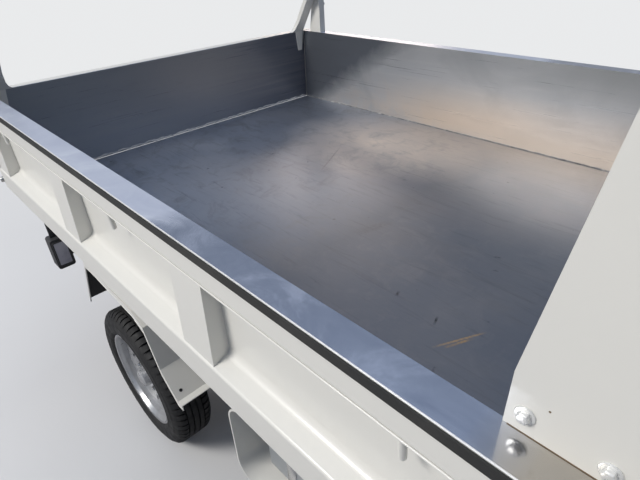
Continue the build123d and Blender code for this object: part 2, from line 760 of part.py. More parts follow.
# Bed subframe: two rails, cross members, the floor's carrying plate and the tipping hinge's ears
with BuildPart() as bed_subframe:
    block((tail_x, headboard_x), (-wall_inner, wall_inner), (floor_base, floor_base + floor_plate))
    cross_member_pitch = (bed_length - 2 * cross_member_inset) / (cross_member_count - 1)
    for index in range(cross_member_count):
        x = tail_x + cross_member_inset + index * cross_member_pitch
        block((x - cross_member_width / 2, x + cross_member_width / 2), (-wall_inner, wall_inner),
              (bed_rail_top, floor_base))
    for side in (-1, 1):
        y_span = tuple(sorted((side * (frame_half_width - bed_rail_width), side * frame_half_width)))
        block((tail_x + 5, tail_x + bed_length - 10), y_span, (bed_rail_base, bed_rail_top))
        ear_span = (frame_half_width + moving_gap, frame_half_width + moving_gap + tip_ear_thickness)
        side_prism([(hinge_x - 34, tip_hinge_height - 12), (hinge_x - 12, tip_hinge_height - 32),
                    (hinge_x + 12, tip_hinge_height - 32), (hinge_x + 34, tip_hinge_height - 12),
                    (hinge_x + 90, bed_rail_top), (hinge_x - 90, bed_rail_top)],
                   *sorted((side * ear_span[0], side * ear_span[1])))
        block((hinge_x - 70, hinge_x + 70), tuple(sorted((side * frame_half_width, side * ear_span[0]))),
              (bed_rail_base + 40, bed_rail_top))
        rod_between((hinge_x, side * (ear_span[0] - 1), tip_hinge_height),
                    (hinge_x, side * (ear_span[1] + 1), tip_hinge_height), tip_pin_radius + pin_play,
                    Mode.SUBTRACT)
    # Ears either side of the hoist's rod eye, on a cross beam
    eye_x = tail_x + hoist_eye_ahead
    ear_y = hoist_eye_width / 2 + 8
    block((eye_x - 30, eye_x + 30), (-frame_half_width + bed_rail_width, frame_half_width - bed_rail_width),
          (bed_rail_top - 8, bed_rail_top))
    for side in (-1, 1):
        block((eye_x - 30, eye_x + 30), tuple(sorted((side * ear_y, side * (ear_y + 12)))),
              (hoist_eye_height - 30, bed_rail_top - 8))
finish(bed_subframe.part, "bed_subframe")

# Side walls: pressed panel with a boxed lip, a deep sill, stakes between them and rope hooks.
# Section points are distance outboard of the liner's inner face and height above the floor.
with BuildPart() as side_walls:
    wall_face = wall_outer - bed_half
    lip_base = wall_height - liner_gauge - lip_depth + strip_thickness
    with BuildSketch(Plane.YZ.offset(tail_x)) as wall_section:
        with BuildLine():
            Polyline(*[(-bed_half - out, floor_height + up) for out, up in (
                (liner_gauge, -wall_skirt), (wall_face, -wall_skirt), (wall_face, 0), (sill_reach, 0),
                (sill_reach, sill_height), (wall_face, sill_height + 16), (wall_face, lip_base + 8),
                (rail_width - 10, lip_base), (rail_width, lip_base + 6),
                (rail_width, wall_height - liner_gauge), (liner_gauge, wall_height - liner_gauge))],
                     close=True)
        make_face()
        inner_corner = wall_section.vertices().sort_by_distance(
            (-bed_half - wall_face, floor_height + sill_height + 16))[0]
        fillet(inner_corner, sill_fillet)
        outer_corner = wall_section.vertices().sort_by_distance(
            (-bed_half - sill_reach, floor_height + sill_height))[0]
        fillet(outer_corner, sill_edge_radius)
    extrude(amount=headboard_front_x - tail_x)
    stake_top = floor_height + lip_base + 10
    stake_foot = floor_height + sill_height - 4
    stake_pitch = (bed_length - stake_margin - stake_first) / (stake_count - 1)
    for index in range(stake_count):
        front = tail_x + stake_first + index * stake_pitch
        front_prism([(-wall_outer + 1, stake_foot), (-bed_half - stake_foot_reach, stake_foot),
                     (-bed_half - stake_head_reach, stake_top), (-wall_outer + 1, stake_top)],
                    front - stake_width, front)
    for index in range(hook_count):
        hook_x = tail_x + hook_first + index * hook_pitch
        hook_foot = floor_height + lip_base - hook_drop
        rod_between((hook_x, -bed_half - hook_top_reach, floor_height + lip_base + 10),
                    (hook_x, -bed_half - hook_foot_reach, hook_foot), hook_radius)
        with Locations((hook_x, -bed_half - hook_foot_reach, hook_foot)):
            Sphere(hook_radius)
    mirror(about=Plane.XZ)
finish(side_walls.part, "side_walls")

# Liner: one welded tub of stainless sheet whose caps fold over the side walls
with BuildPart() as bed_liner:
    block((tail_x, headboard_x), (-wall_inner, wall_inner), (floor_height - liner_gauge, floor_height))
    block((bed_front_x, headboard_x), (-wall_inner, wall_inner), (floor_height, wall_top))
    for side in (-1, 1):
        block((tail_x, headboard_x), tuple(sorted((side * bed_half, side * wall_inner))),
              (floor_height, wall_top))
        block((tail_x, headboard_x), tuple(sorted((side * wall_inner, side * rail_outer))),
              (wall_top - liner_gauge, wall_top))
finish(bed_liner.part, "bed_liner")

# Rubber strips along the rails' outer faces
with BuildPart() as rail_strips:
    block((tail_x, headboard_front_x), (-rail_outer - seat_gap - strip_thickness, -rail_outer - seat_gap),
          (wall_top - strip_height - liner_gauge, wall_top - liner_gauge))
    mirror(about=Plane.XZ)
finish(rail_strips.part, "rail_strips")

# Headboard: a framed sheet across the front, a barred window above it and a wing on each side
headboard_top = floor_height + headboard_height
with BuildPart() as headboard:
    block((headboard_x, headboard_front_x), (-wall_inner, wall_inner), (floor_base, headboard_top))
    front_prism([(-rail_outer, wall_top), (-wall_inner, wall_top), (-wall_inner, headboard_top),
                 (-rail_outer + 20, headboard_top - 20)], headboard_x, headboard_front_x)
    front_prism([(rail_outer, wall_top), (wall_inner, wall_top), (wall_inner, headboard_top),
                 (rail_outer - 20, headboard_top - 20)], headboard_x, headboard_front_x)
    window_low = wall_top + guard_window_sill
    window_high = headboard_top - guard_tube
    block((headboard_x, headboard_front_x), (-bed_half + guard_tube, bed_half - guard_tube),
          (window_low, window_high), Mode.SUBTRACT)
    bar_pitch = (bed_width - 2 * guard_tube) / (guard_bar_count + 1)
    for index in range(guard_bar_count):
        y = -bed_half + guard_tube + (index + 1) * bar_pitch
        rod_between(((headboard_x + headboard_front_x) / 2, y, window_low - 2),
                    ((headboard_x + headboard_front_x) / 2, y, window_high + 2), guard_bar_radius)
    for side in (-1, 1):
        wing_y = tuple(sorted((side * (bed_half + seat_gap), side * (bed_half + wing_thickness))))
        wing_base = wall_top + seat_gap
        foot_x = bed_front_x - wing_foot
        lean = wing_lean * (headboard_top - wing_base - wing_upright)
        side_prism([(foot_x, wing_base), (foot_x, wing_base + wing_upright),
                    (foot_x + lean, headboard_top), (headboard_x + 1, headboard_top),
                    (headboard_x + 1, wing_base)], *wing_y)
finish(headboard.part, "headboard")

# Tailgate: a boxed panel with ribs outside, and two bent arms that hang it from its pins
gate_inner_x = tail_x - moving_gap
gate_face_x = gate_inner_x - liner_gauge
gate_outer_x = gate_face_x - tailgate_thickness + liner_gauge
pivot_x = tail_x + gate_pivot_ahead
pivot_z = floor_height + gate_pivot_height
with BuildPart() as tailgate:
    block((gate_outer_x, gate_face_x), (-rail_outer, rail_outer), (floor_height, wall_top))
    rib_pitch = 2 * rail_outer / (tailgate_rib_count - 1) - tailgate_rib_width / (tailgate_rib_count - 1)
    for index in range(tailgate_rib_count):
        y = -rail_outer + tailgate_rib_width / 2 + index * rib_pitch
        block((gate_outer_x - tailgate_rib_depth, gate_outer_x),
              (y - tailgate_rib_width / 2, y + tailgate_rib_width / 2), (floor_height, wall_top))
    for low in (floor_height, wall_top - tailgate_rib_width):
        block((gate_outer_x - tailgate_rib_depth, gate_outer_x), (-rail_outer, rail_outer),
              (low, low + tailgate_rib_width))
    for side in (-1, 1):
        arm_span = sorted((side * arm_inner, side * arm_outer))
        foot_span = sorted((side * (arm_inner - arm_flare), side * arm_outer))
        with BuildSketch(Plane.XZ.offset(-foot_span[1])):
            with BuildLine():
                tongue_x = gate_inner_x + tongue_gauge
                outer_start = (tongue_x - arm_gauge, wall_top - 1)
                inner_start = (tongue_x, wall_top - 1)
                outer_end = (pivot_x - 9, pivot_z + 6)
                inner_end = (pivot_x + 9, pivot_z - 6)
                middle = (pivot_x - 67, pivot_z - 105)
                ThreePointArc(outer_start, (middle[0] - arm_gauge * 0.44, middle[1] + arm_gauge * 0.24),
                              outer_end)
                Line(outer_end, inner_end)
                ThreePointArc(inner_end, (middle[0] + arm_gauge * 0.44, middle[1] - arm_gauge * 0.24),
                              inner_start)
                Line(inner_start, outer_start)
            make_face()
        extrude(amount=arm_width + arm_flare)
        # Above its flared foot the arm is narrower
        beside = side * (arm_inner - arm_flare - 1)
        front_prism([(side * (arm_inner - inboard), wall_top + up) for inboard, up in flare_points]
                    + [(beside, wall_top), (beside, pivot_z + arm_width),
                       (side * arm_inner, pivot_z + arm_width)],
                    outer_start[0] - arm_gauge, inner_end[0] + arm_gauge, Mode.SUBTRACT)
        arm_middle = side * (arm_inner + arm_width / 2)
        front_prism([(arm_middle - arm_width / 2, wall_top + 6), (arm_middle + arm_width / 2, wall_top + 6),
                     (arm_middle + tongue_foot / 2, wall_top - tongue_length),
                     (arm_middle - tongue_foot / 2, wall_top - tongue_length)],
                    gate_inner_x + seat_gap, tongue_x)
        block((gate_face_x - 1, tongue_x), tuple(arm_span), (wall_top - 1, wall_top + 6))
        with Locations(Plane(origin=(pivot_x, arm_middle, pivot_z), z_dir=(0, 1, 0))):
            Cylinder(gate_eye_radius, arm_width)
            Cylinder(gate_pin_radius + pin_play, arm_width + 2, mode=Mode.SUBTRACT)
finish(tailgate.part, "tailgate")

with BuildPart() as tailgate_liner:
    block((gate_face_x, gate_inner_x), (-bed_half, bed_half), (floor_height, wall_top - 1))
finish(tailgate_liner.part, "tailgate_liner")

# Posts on the rails that hold the tailgate's pins
with BuildPart() as hinge_posts:
    post_y = (-bed_half - post_depth - 1, -bed_half - 1)
    post_base = wall_top + seat_gap
    foot_middle = pivot_x - post_rake
    side_prism([(foot_middle - post_foot / 2, post_base), (foot_middle + post_foot / 2, post_base),
                (pivot_x + post_head / 2, pivot_z + 15), (pivot_x - post_head / 2, pivot_z + 15)],
               *post_y)
    with Locations(Plane(origin=(pivot_x, sum(post_y) / 2, pivot_z + 6), z_dir=(0, 1, 0))):
        Cylinder(post_head / 2, post_depth)
    rod_between((pivot_x, -arm_inner + 6, pivot_z), (pivot_x, post_y[0] - 10, pivot_z), gate_pin_radius)
    mirror(about=Plane.XZ)
finish(hinge_posts.part, "hinge_posts")

# Hoist: barrel on the chassis, rod towards its eye under the bed
base_point = (tail_x + hoist_base_ahead, 0, hoist_base_height)
eye_point = (tail_x + hoist_eye_ahead, 0, hoist_eye_height)
hoist_run = Vector(*eye_point) - Vector(*base_point)
hoist_axis = hoist_run.normalized()


def along_hoist(distance):
    """A point that far from the hoist's base pin towards its eye."""
    return tuple(Vector(*base_point) + hoist_axis * distance)


with BuildPart() as hoist_barrel:
    with Locations(Plane(origin=base_point, z_dir=(0, 1, 0))):
        Cylinder(hoist_eye_radius, hoist_eye_width)
    rod_between(along_hoist(hoist_eye_radius - 8), along_hoist(barrel_length), barrel_radius)
    rod_between(along_hoist(barrel_length), along_hoist(barrel_length + 14), barrel_radius + 5)
    with Locations(Plane(origin=base_point, z_dir=(0, 1, 0))):
        Cylinder(hoist_pin_radius + pin_play, hoist_eye_width + 2, mode=Mode.SUBTRACT)
    rod_between(along_hoist(60), along_hoist(barrel_length + 20), rod_radius + pin_play, Mode.SUBTRACT)
finish(hoist_barrel.part, "hoist_barrel")

with BuildPart() as hoist_rod:
    rod_between(along_hoist(70), along_hoist(hoist_run.length - 10), rod_radius)
    with Locations(Plane(origin=eye_point, z_dir=(0, 1, 0))):
        Cylinder(hoist_eye_radius, hoist_eye_width)
        Cylinder(hoist_pin_radius + pin_play, hoist_eye_width + 2, mode=Mode.SUBTRACT)
finish(hoist_rod.part, "hoist_rod")


def cab_volume(inset, deep=0):
    """The cab's outside form moved inwards by inset, carried down by deep below its base."""
    with BuildPart() as volume:
        with BuildSketch(Plane.YZ.offset(cab_back_x + inset)):
            with BuildLine() as half:
                Line((0, cab_base - deep), (cab_sill_half, cab_base - deep))
                if deep:
                    Line((cab_sill_half, cab_base - deep), (cab_sill_half, cab_base))
                ThreePointArc((cab_sill_half, cab_base), (cab_belt_half, (cab_base + cab_belt) / 2 + 60),
                              (cab_belt_half - 6, cab_belt))
                Line((cab_belt_half - 6, cab_belt), (cab_shoulder_half, cab_shoulder))
                ThreePointArc((cab_shoulder_half, cab_shoulder),
                              ((cab_shoulder_half + cab_roof_edge_half) / 2 + 30,
                               (cab_shoulder + cab_roof_edge) / 2 + 16),
                              (cab_roof_edge_half, cab_roof_edge))
                ThreePointArc((cab_roof_edge_half, cab_roof_edge), (cab_roof_edge_half / 2, cab_roof - 6),
                              (0, cab_roof))
                mirror(about=Plane.YZ)
            make_face()
            if inset:
                offset(amount=-inset)
        extrude(amount=overall_length)
        # Side view: upright back, flat roof, raked screen and nose
        with BuildSketch(Plane.XZ.offset(-overall_length)):
            with BuildLine():
                Polyline(
                    (cab_back_x, cab_base - deep - 200), (cab_back_x, cab_shoulder),
                    (cab_back_x + 60, cab_roof + 60),
                    (cab_front_x - screen_head_back - 55, cab_roof + 60),
                    (cab_front_x - screen_head_back, screen_head_height),
                    (cab_front_x - screen_foot_back, screen_foot_height),
                    (cab_front_x - 70, screen_foot_height - 70), (cab_front_x, screen_foot_height - 290),
                    (cab_front_x, cab_base - deep - 200), close=True)
            make_face()
            if inset:
                offset(amount=-inset)
        extrude(amount=2 * overall_length, mode=Mode.INTERSECT)
        # Plan view: bowed front with rounded corners
        with BuildSketch(Plane.XY):
            with BuildLine():
                corner_x = cab_front_x - cab_nose_corner
                middle_x = cab_front_x - cab_nose_corner * 0.42
                bow_x = cab_front_x - cab_nose_bow
                Polyline((corner_x, overall_length), (cab_back_x - 100, overall_length),
                         (cab_back_x - 100, -overall_length), (corner_x, -overall_length),
                         (corner_x, -cab_belt_half))
                ThreePointArc((corner_x, -cab_belt_half), (middle_x, -cab_belt_half + 48),
                              (bow_x, -cab_belt_half + 170))
                ThreePointArc((bow_x, -cab_belt_half + 170), (cab_front_x, 0),
                              (bow_x, cab_belt_half - 170))
                ThreePointArc((bow_x, cab_belt_half - 170), (middle_x, cab_belt_half - 48),
                              (corner_x, cab_belt_half))
                Line((corner_x, cab_belt_half), (corner_x, overall_length))
            make_face()
            if inset:
                offset(amount=-inset)
        extrude(amount=2 * cab_roof, both=True, mode=Mode.INTERSECT)
    return volume.part


# Each piece is cut from its own copy of the skin, so that no cut disturbs the next
cab_outer = cab_volume(0)
cab_inner = cab_volume(cab_wall, 400)
with BuildPart() as cab_skin:
    add(cab_outer)
    add(cab_inner, mode=Mode.SUBTRACT)

# Outlines on the cab, as X and Z values
wide_half = 2 * cab_sill_half - cab_belt_half + 200
door_outline = [
    (door_rear_x, door_foot_rear), (front_axle_x + door_heel, door_foot_rear),
    (front_axle_x + door_toe, door_foot_front), (door_front_x, door_foot_front),
    (door_front_x, screen_foot_height), (door_head_x, door_head), (door_rear_x, door_head),
]
door_window = [
    (door_rear_x + 75, cab_belt + 45), (door_front_x - 80, cab_belt + 45),
    (door_head_x - 45, door_head - 70), (door_rear_x + 75, door_head - 70),
]
screen_outline = [(-screen_foot_half, screen_foot_height + 25), (screen_foot_half, screen_foot_height + 25),
                  (screen_head_half, screen_head_height - 20), (-screen_head_half, screen_head_height - 20)]
rear_window_outline = [(-rear_window_half, rear_window_base), (rear_window_half, rear_window_base),
                       (rear_window_half, rear_window_top), (-rear_window_half, rear_window_top)]
nose_split_height = screen_foot_height - 15

with BuildPart() as cab_shell:
    add(deepcopy(cab_skin.part))
    # The back wall ends at the seat deck, over the frame and the engine
    block((cab_back_x - 10, cab_back_x + cab_wall + 10), (-deck_half, deck_half),
          (cab_base - 10, seat_deck_height - 2 * deck_gauge), Mode.SUBTRACT)
    # Door openings, wheel arches and window openings
    with BuildSketch(Plane.XZ.offset(-wide_half)) as door_hole:
        with BuildLine():
            Polyline(*door_outline, close=True)
        make_face()
        fillet(door_hole.vertices(), 30)
        offset(amount=door_gap)
    extrude(amount=2 * wide_half, mode=Mode.SUBTRACT)
    block((door_rear_x - door_rear_gap, door_rear_x), (-wide_half, wide_half),
          (door_foot_rear + 20, door_head - 20), Mode.SUBTRACT)
    rod_between((front_axle_x, -wide_half, tyre_radius), (front_axle_x, wide_half, tyre_radius),
                arch_radius, Mode.SUBTRACT)
    front_prism(screen_outline, screen_zone_x, nose_x, Mode.SUBTRACT, 50)
    front_prism(rear_window_outline, cab_back_x - 10, cab_back_x + 200, Mode.SUBTRACT, 50)
    # The nose below the windscreen is a panel of its own
    block((nose_split_x, nose_x), (-wide_half, wide_half), (0, nose_split_height), Mode.SUBTRACT)
    for side in (-1, 1):
        for height in hinge_heights:
            pin = (door_front_x + hinge_ahead, side * (cab_belt_half + hinge_out))
            for level in (-1, 1):
                low, high = sorted((height + level * hinge_barrel_length / 2,
                                    height + level * hinge_barrel_length * 0.9))
                rod_between((*pin, low), (*pin, high), hinge_barrel_radius)
                block((pin[0], pin[0] + 26),
                      tuple(sorted((side * (cab_belt_half - 20), side * (cab_belt_half + hinge_out + 2)))),
                      (low, high))
            rod_between((*pin, height - hinge_barrel_length * 0.7),
                        (*pin, height + hinge_barrel_length * 0.7), hinge_pin_radius)
finish(cab_shell.part, "cab_shell")

lamp_base = cab_base + lamp_rise
with BuildPart() as front_panel:
    add(deepcopy(cab_skin.part))
    block((nose_split_x, nose_x), (-wide_half, wide_half), (0, nose_split_height), Mode.INTERSECT)
    # Lamp openings and the slots of the grille
    for side in (-1, 1):
        block((nose_split_x + 60, nose_x), tuple(sorted((side * lamp_inner, side * lamp_outer))),
              (lamp_base, lamp_base + lamp_height), Mode.SUBTRACT)
    for index in range(grille_slots):
        slot_base = cab_base + grille_rise + index * grille_pitch
        block((nose_split_x + 120, nose_x), (-grille_half, grille_half),
              (slot_base, slot_base + grille_slot), Mode.SUBTRACT)
finish(front_panel.part, "front_panel")

glass_band_outer = cab_volume(glass_inset)
glass_band_inner = cab_volume(glass_inset + glass_gauge)
with BuildPart() as windshield:
    add(deepcopy(glass_band_outer))
    add(deepcopy(glass_band_inner), mode=Mode.SUBTRACT)
    with BuildSketch(Plane.YZ.offset(screen_zone_x)) as pane:
        with BuildLine():
            Polyline(*screen_outline, close=True)
        make_face()
        fillet(pane.vertices(), 50)
        offset(amount=-seat_gap)
    extrude(amount=nose_x - screen_zone_x, mode=Mode.INTERSECT)
finish(windshield.part, "windshield")

with BuildPart() as rear_window:
    with BuildSketch(Plane.YZ.offset(cab_back_x + glass_inset)) as pane:
        with BuildLine():
            Polyline(*rear_window_outline, close=True)
        make_face()
        fillet(pane.vertices(), 50)
        offset(amount=-seat_gap)
    extrude(amount=glass_gauge)
finish(rear_window.part, "rear_window")

for side, name in ((-1, "right"), (1, "left")):
    y_span = sorted((side * wide_half / 2, side * wide_half))
    with BuildPart() as door:
        add(deepcopy(cab_skin.part))
        side_prism(door_outline, *y_span, Mode.INTERSECT, 30)
        side_prism(door_window, *y_span, Mode.SUBTRACT, 40)
        for height in hinge_heights:
            pin = (door_front_x + hinge_ahead, side * (cab_belt_half + hinge_out))
            z_span = (height - hinge_barrel_length / 2 + 1, height + hinge_barrel_length / 2 - 1)
            rod_between((*pin, z_span[0]), (*pin, z_span[1]), hinge_barrel_radius)
            strap_outer = side * (cab_belt_half + hinge_out + 3)
            block((pin[0] - 40, door_front_x),
                  tuple(sorted((side * (cab_belt_half - 20), strap_outer))), z_span)
            block((door_front_x, pin[0]),
                  tuple(sorted((side * (cab_belt_half + 1), strap_outer))), z_span)
            rod_between((*pin, height - hinge_barrel_length), (*pin, height + hinge_barrel_length),
                        hinge_pin_radius + pin_play, Mode.SUBTRACT)
    finish(door.part, f"door_{name}")
    with BuildPart() as door_glass:
        add(deepcopy(glass_band_outer))
        add(deepcopy(glass_band_inner), mode=Mode.SUBTRACT)
        with BuildSketch(Plane.XZ.offset(-y_span[1])) as pane:
            with BuildLine():
                Polyline(*door_window, close=True)
            make_face()
            fillet(pane.vertices(), 40)
            offset(amount=-seat_gap)
        extrude(amount=y_span[1] - y_span[0], mode=Mode.INTERSECT)
    finish(door_glass.part, f"door_glass_{name}")

# Cab floor: footwell, riser and seat deck in one folded sheet, trimmed to the cab's inside
cab_inside_seat = cab_volume(cab_wall + seat_gap, 400)
with BuildPart() as cab_floor:
    side_prism([(nose_x, cab_floor_height), (deck_x, cab_floor_height), (deck_x, seat_deck_height),
                (cab_back_x, seat_deck_height), (cab_back_x, seat_deck_height - deck_gauge),
                (deck_x - deck_gauge, seat_deck_height - deck_gauge),
                (deck_x - deck_gauge, cab_floor_height - deck_gauge),
                (nose_x, cab_floor_height - deck_gauge)], -deck_half, deck_half)
    add(deepcopy(cab_inside_seat), mode=Mode.INTERSECT)
finish(cab_floor.part, "cab_floor")

# Dashboard with the steering column on the right
column_tilt = radians(steering_column_tilt)
wheel_centre = Vector(steering_wheel_x, -seat_y, steering_wheel_height)
column_dir = Vector(cos(column_tilt), 0, -sin(column_tilt))
with BuildPart() as dashboard:
    # Its outline, as distances ahead of its rear edge and from the steering wheel's height
    dash_points = [(120, 60), (0, 5), (10, -205), (150, -265)]
    dash_outline = [(dash_x + ahead, steering_wheel_height + up) for ahead, up in dash_points]
    side_prism([(nose_x, dash_outline[0][1] - 5)] + dash_outline + [(nose_x, dash_outline[-1][1])],
               -deck_half, deck_half)
    add(deepcopy(cab_inside_seat), mode=Mode.INTERSECT)
    rod_between(tuple(wheel_centre + column_dir * 40), tuple(wheel_centre + column_dir * column_length),
                column_radius)
    rod_between(tuple(wheel_centre - column_dir * 4), tuple(wheel_centre + column_dir * 60),
                steering_shaft_radius)
finish(dashboard.part, "dashboard")

with BuildPart() as steering_wheel:
    wheel_disc = Plane(origin=tuple(wheel_centre), z_dir=tuple(-column_dir))
    with Locations(wheel_disc):
        Torus(steering_wheel_radius, steering_grip_radius)
        Cylinder(38, 40)
        Box(2 * steering_wheel_radius, 30, 12)
        with Locations((0, 0, 0)):
            Cylinder(steering_shaft_radius + pin_play, 44, mode=Mode.SUBTRACT)
finish(steering_wheel.part, "steering_wheel")

# Seats: a cushion and a backrest in one, twice
with BuildPart() as seats:
    seat_base = seat_deck_height + seat_gap
    for side in (-1, 1):
        side_prism([(seat_back_x + 60, seat_base), (cushion_front_x, seat_base),
                    (cushion_front_x, seat_base + cushion_height),
                    (seat_back_x + backrest_thickness + 50, seat_base + cushion_height - 20),
                    (seat_back_x + backrest_thickness, seat_base + cushion_height + backrest_height),
                    (seat_back_x, seat_base + cushion_height + backrest_height)],
                   side * seat_y - seat_width / 2, side * seat_y + seat_width / 2, Mode.ADD, 20)
finish(seats.part, "seats")

# Headlamps in their openings
with BuildPart() as headlamps:
    add(cab_volume(4))
    add(cab_volume(30), mode=Mode.SUBTRACT)
    block((nose_split_x + 60, nose_x), (-lamp_outer + seat_gap, lamp_outer - seat_gap),
          (lamp_base + seat_gap, lamp_base + lamp_height - seat_gap), Mode.INTERSECT)
    block((nose_split_x, nose_x), (-lamp_inner - seat_gap, lamp_inner + seat_gap),
          (lamp_base - lamp_height, lamp_base + 2 * lamp_height), Mode.SUBTRACT)
finish(headlamps.part, "headlamps")

# Front bumper wraps round the nose
with BuildPart() as front_bumper:
    add(cab_volume(-bumper_projection, 100))
    add(cab_volume(-seat_gap, 200), mode=Mode.SUBTRACT)
    block((nose_split_x + 40, nose_x + 1), (-wide_half, wide_half),
          (cab_base - bumper_drop, cab_base - bumper_drop + bumper_height), Mode.INTERSECT)
finish(front_bumper.part, "front_bumper")

# Mirrors on arms ahead of the doors
with BuildPart() as mirrors:
    for side in (-1, 1):
        arm_x = nose_split_x + 46
        arm_y = side * (cab_belt_half + mirror_reach)
        elbow = (arm_x, arm_y, cab_belt + 10)
        rod_between((arm_x - 20, side * (cab_belt_half - 16), cab_belt - 30), elbow, mirror_arm_radius)
        with Locations(elbow):
            Sphere(mirror_arm_radius + 0.5)
        rod_between(elbow, (arm_x, arm_y, cab_belt + 40), mirror_arm_radius)
        glass_half = mirror_width / 2
        block((arm_x - mirror_depth / 2, arm_x + mirror_depth / 2),
              tuple(sorted((arm_y + side * 10 - glass_half, arm_y + side * 10 + glass_half))),
              (cab_belt + 35, cab_belt + 35 + mirror_height))
    add(cab_volume(-seat_gap), mode=Mode.SUBTRACT)
finish(mirrors.part, "mirrors")
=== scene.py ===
import bmesh
import bpy
import json
import math
import random
from mathutils import Matrix, Vector


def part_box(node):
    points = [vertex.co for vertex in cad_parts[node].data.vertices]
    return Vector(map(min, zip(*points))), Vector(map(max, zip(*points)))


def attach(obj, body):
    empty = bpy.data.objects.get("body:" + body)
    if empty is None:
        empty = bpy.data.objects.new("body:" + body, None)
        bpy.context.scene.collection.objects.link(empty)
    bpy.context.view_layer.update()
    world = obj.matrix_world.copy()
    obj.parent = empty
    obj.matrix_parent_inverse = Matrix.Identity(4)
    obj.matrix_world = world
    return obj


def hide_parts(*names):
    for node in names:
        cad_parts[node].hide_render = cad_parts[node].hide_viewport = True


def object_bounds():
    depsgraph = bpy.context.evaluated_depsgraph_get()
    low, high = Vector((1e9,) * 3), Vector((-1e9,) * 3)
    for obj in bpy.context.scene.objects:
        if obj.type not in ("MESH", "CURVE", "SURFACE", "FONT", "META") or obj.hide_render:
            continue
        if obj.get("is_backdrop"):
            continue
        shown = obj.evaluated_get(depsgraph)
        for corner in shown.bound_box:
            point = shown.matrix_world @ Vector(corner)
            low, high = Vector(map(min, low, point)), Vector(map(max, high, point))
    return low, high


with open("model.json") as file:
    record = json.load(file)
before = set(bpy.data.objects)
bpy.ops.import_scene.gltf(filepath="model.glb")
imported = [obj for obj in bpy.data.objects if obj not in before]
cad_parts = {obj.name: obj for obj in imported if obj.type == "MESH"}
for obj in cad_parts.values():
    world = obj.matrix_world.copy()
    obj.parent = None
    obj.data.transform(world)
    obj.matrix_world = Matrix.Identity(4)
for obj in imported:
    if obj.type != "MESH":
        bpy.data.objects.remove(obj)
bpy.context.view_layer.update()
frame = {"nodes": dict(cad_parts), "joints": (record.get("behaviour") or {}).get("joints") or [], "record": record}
random.seed(7)
joints = {joint["name"]: joint for joint in frame["joints"]}
X, Y, Z = range(3)


def extent(node, axis):
    """Where a node of the CAD part begins and ends along an axis, to a tenth of a millimetre."""
    return [round(corner[axis], 4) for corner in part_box(node)]


# Main lines of the truck, in metres, read from the CAD part
LINER_GAUGE = 0.003
TAIL, liner_end = extent("bed_liner", X)
BED_FRONT = round(liner_end - LINER_GAUGE, 4)
RAIL_OUTER = extent("bed_liner", Y)[1]
WALL_TOP = extent("bed_liner", Z)[1]
BED_HALF = extent("tailgate_liner", Y)[1]
FLOOR = extent("tailgate_liner", Z)[0]
NOSE = extent("front_panel", X)[1]
REAR_AXLE, _, TYRE_RADIUS = joints["rear_left_spin"]["pos_m"]
FRONT_AXLE = joints["front_left_spin"]["pos_m"][0]


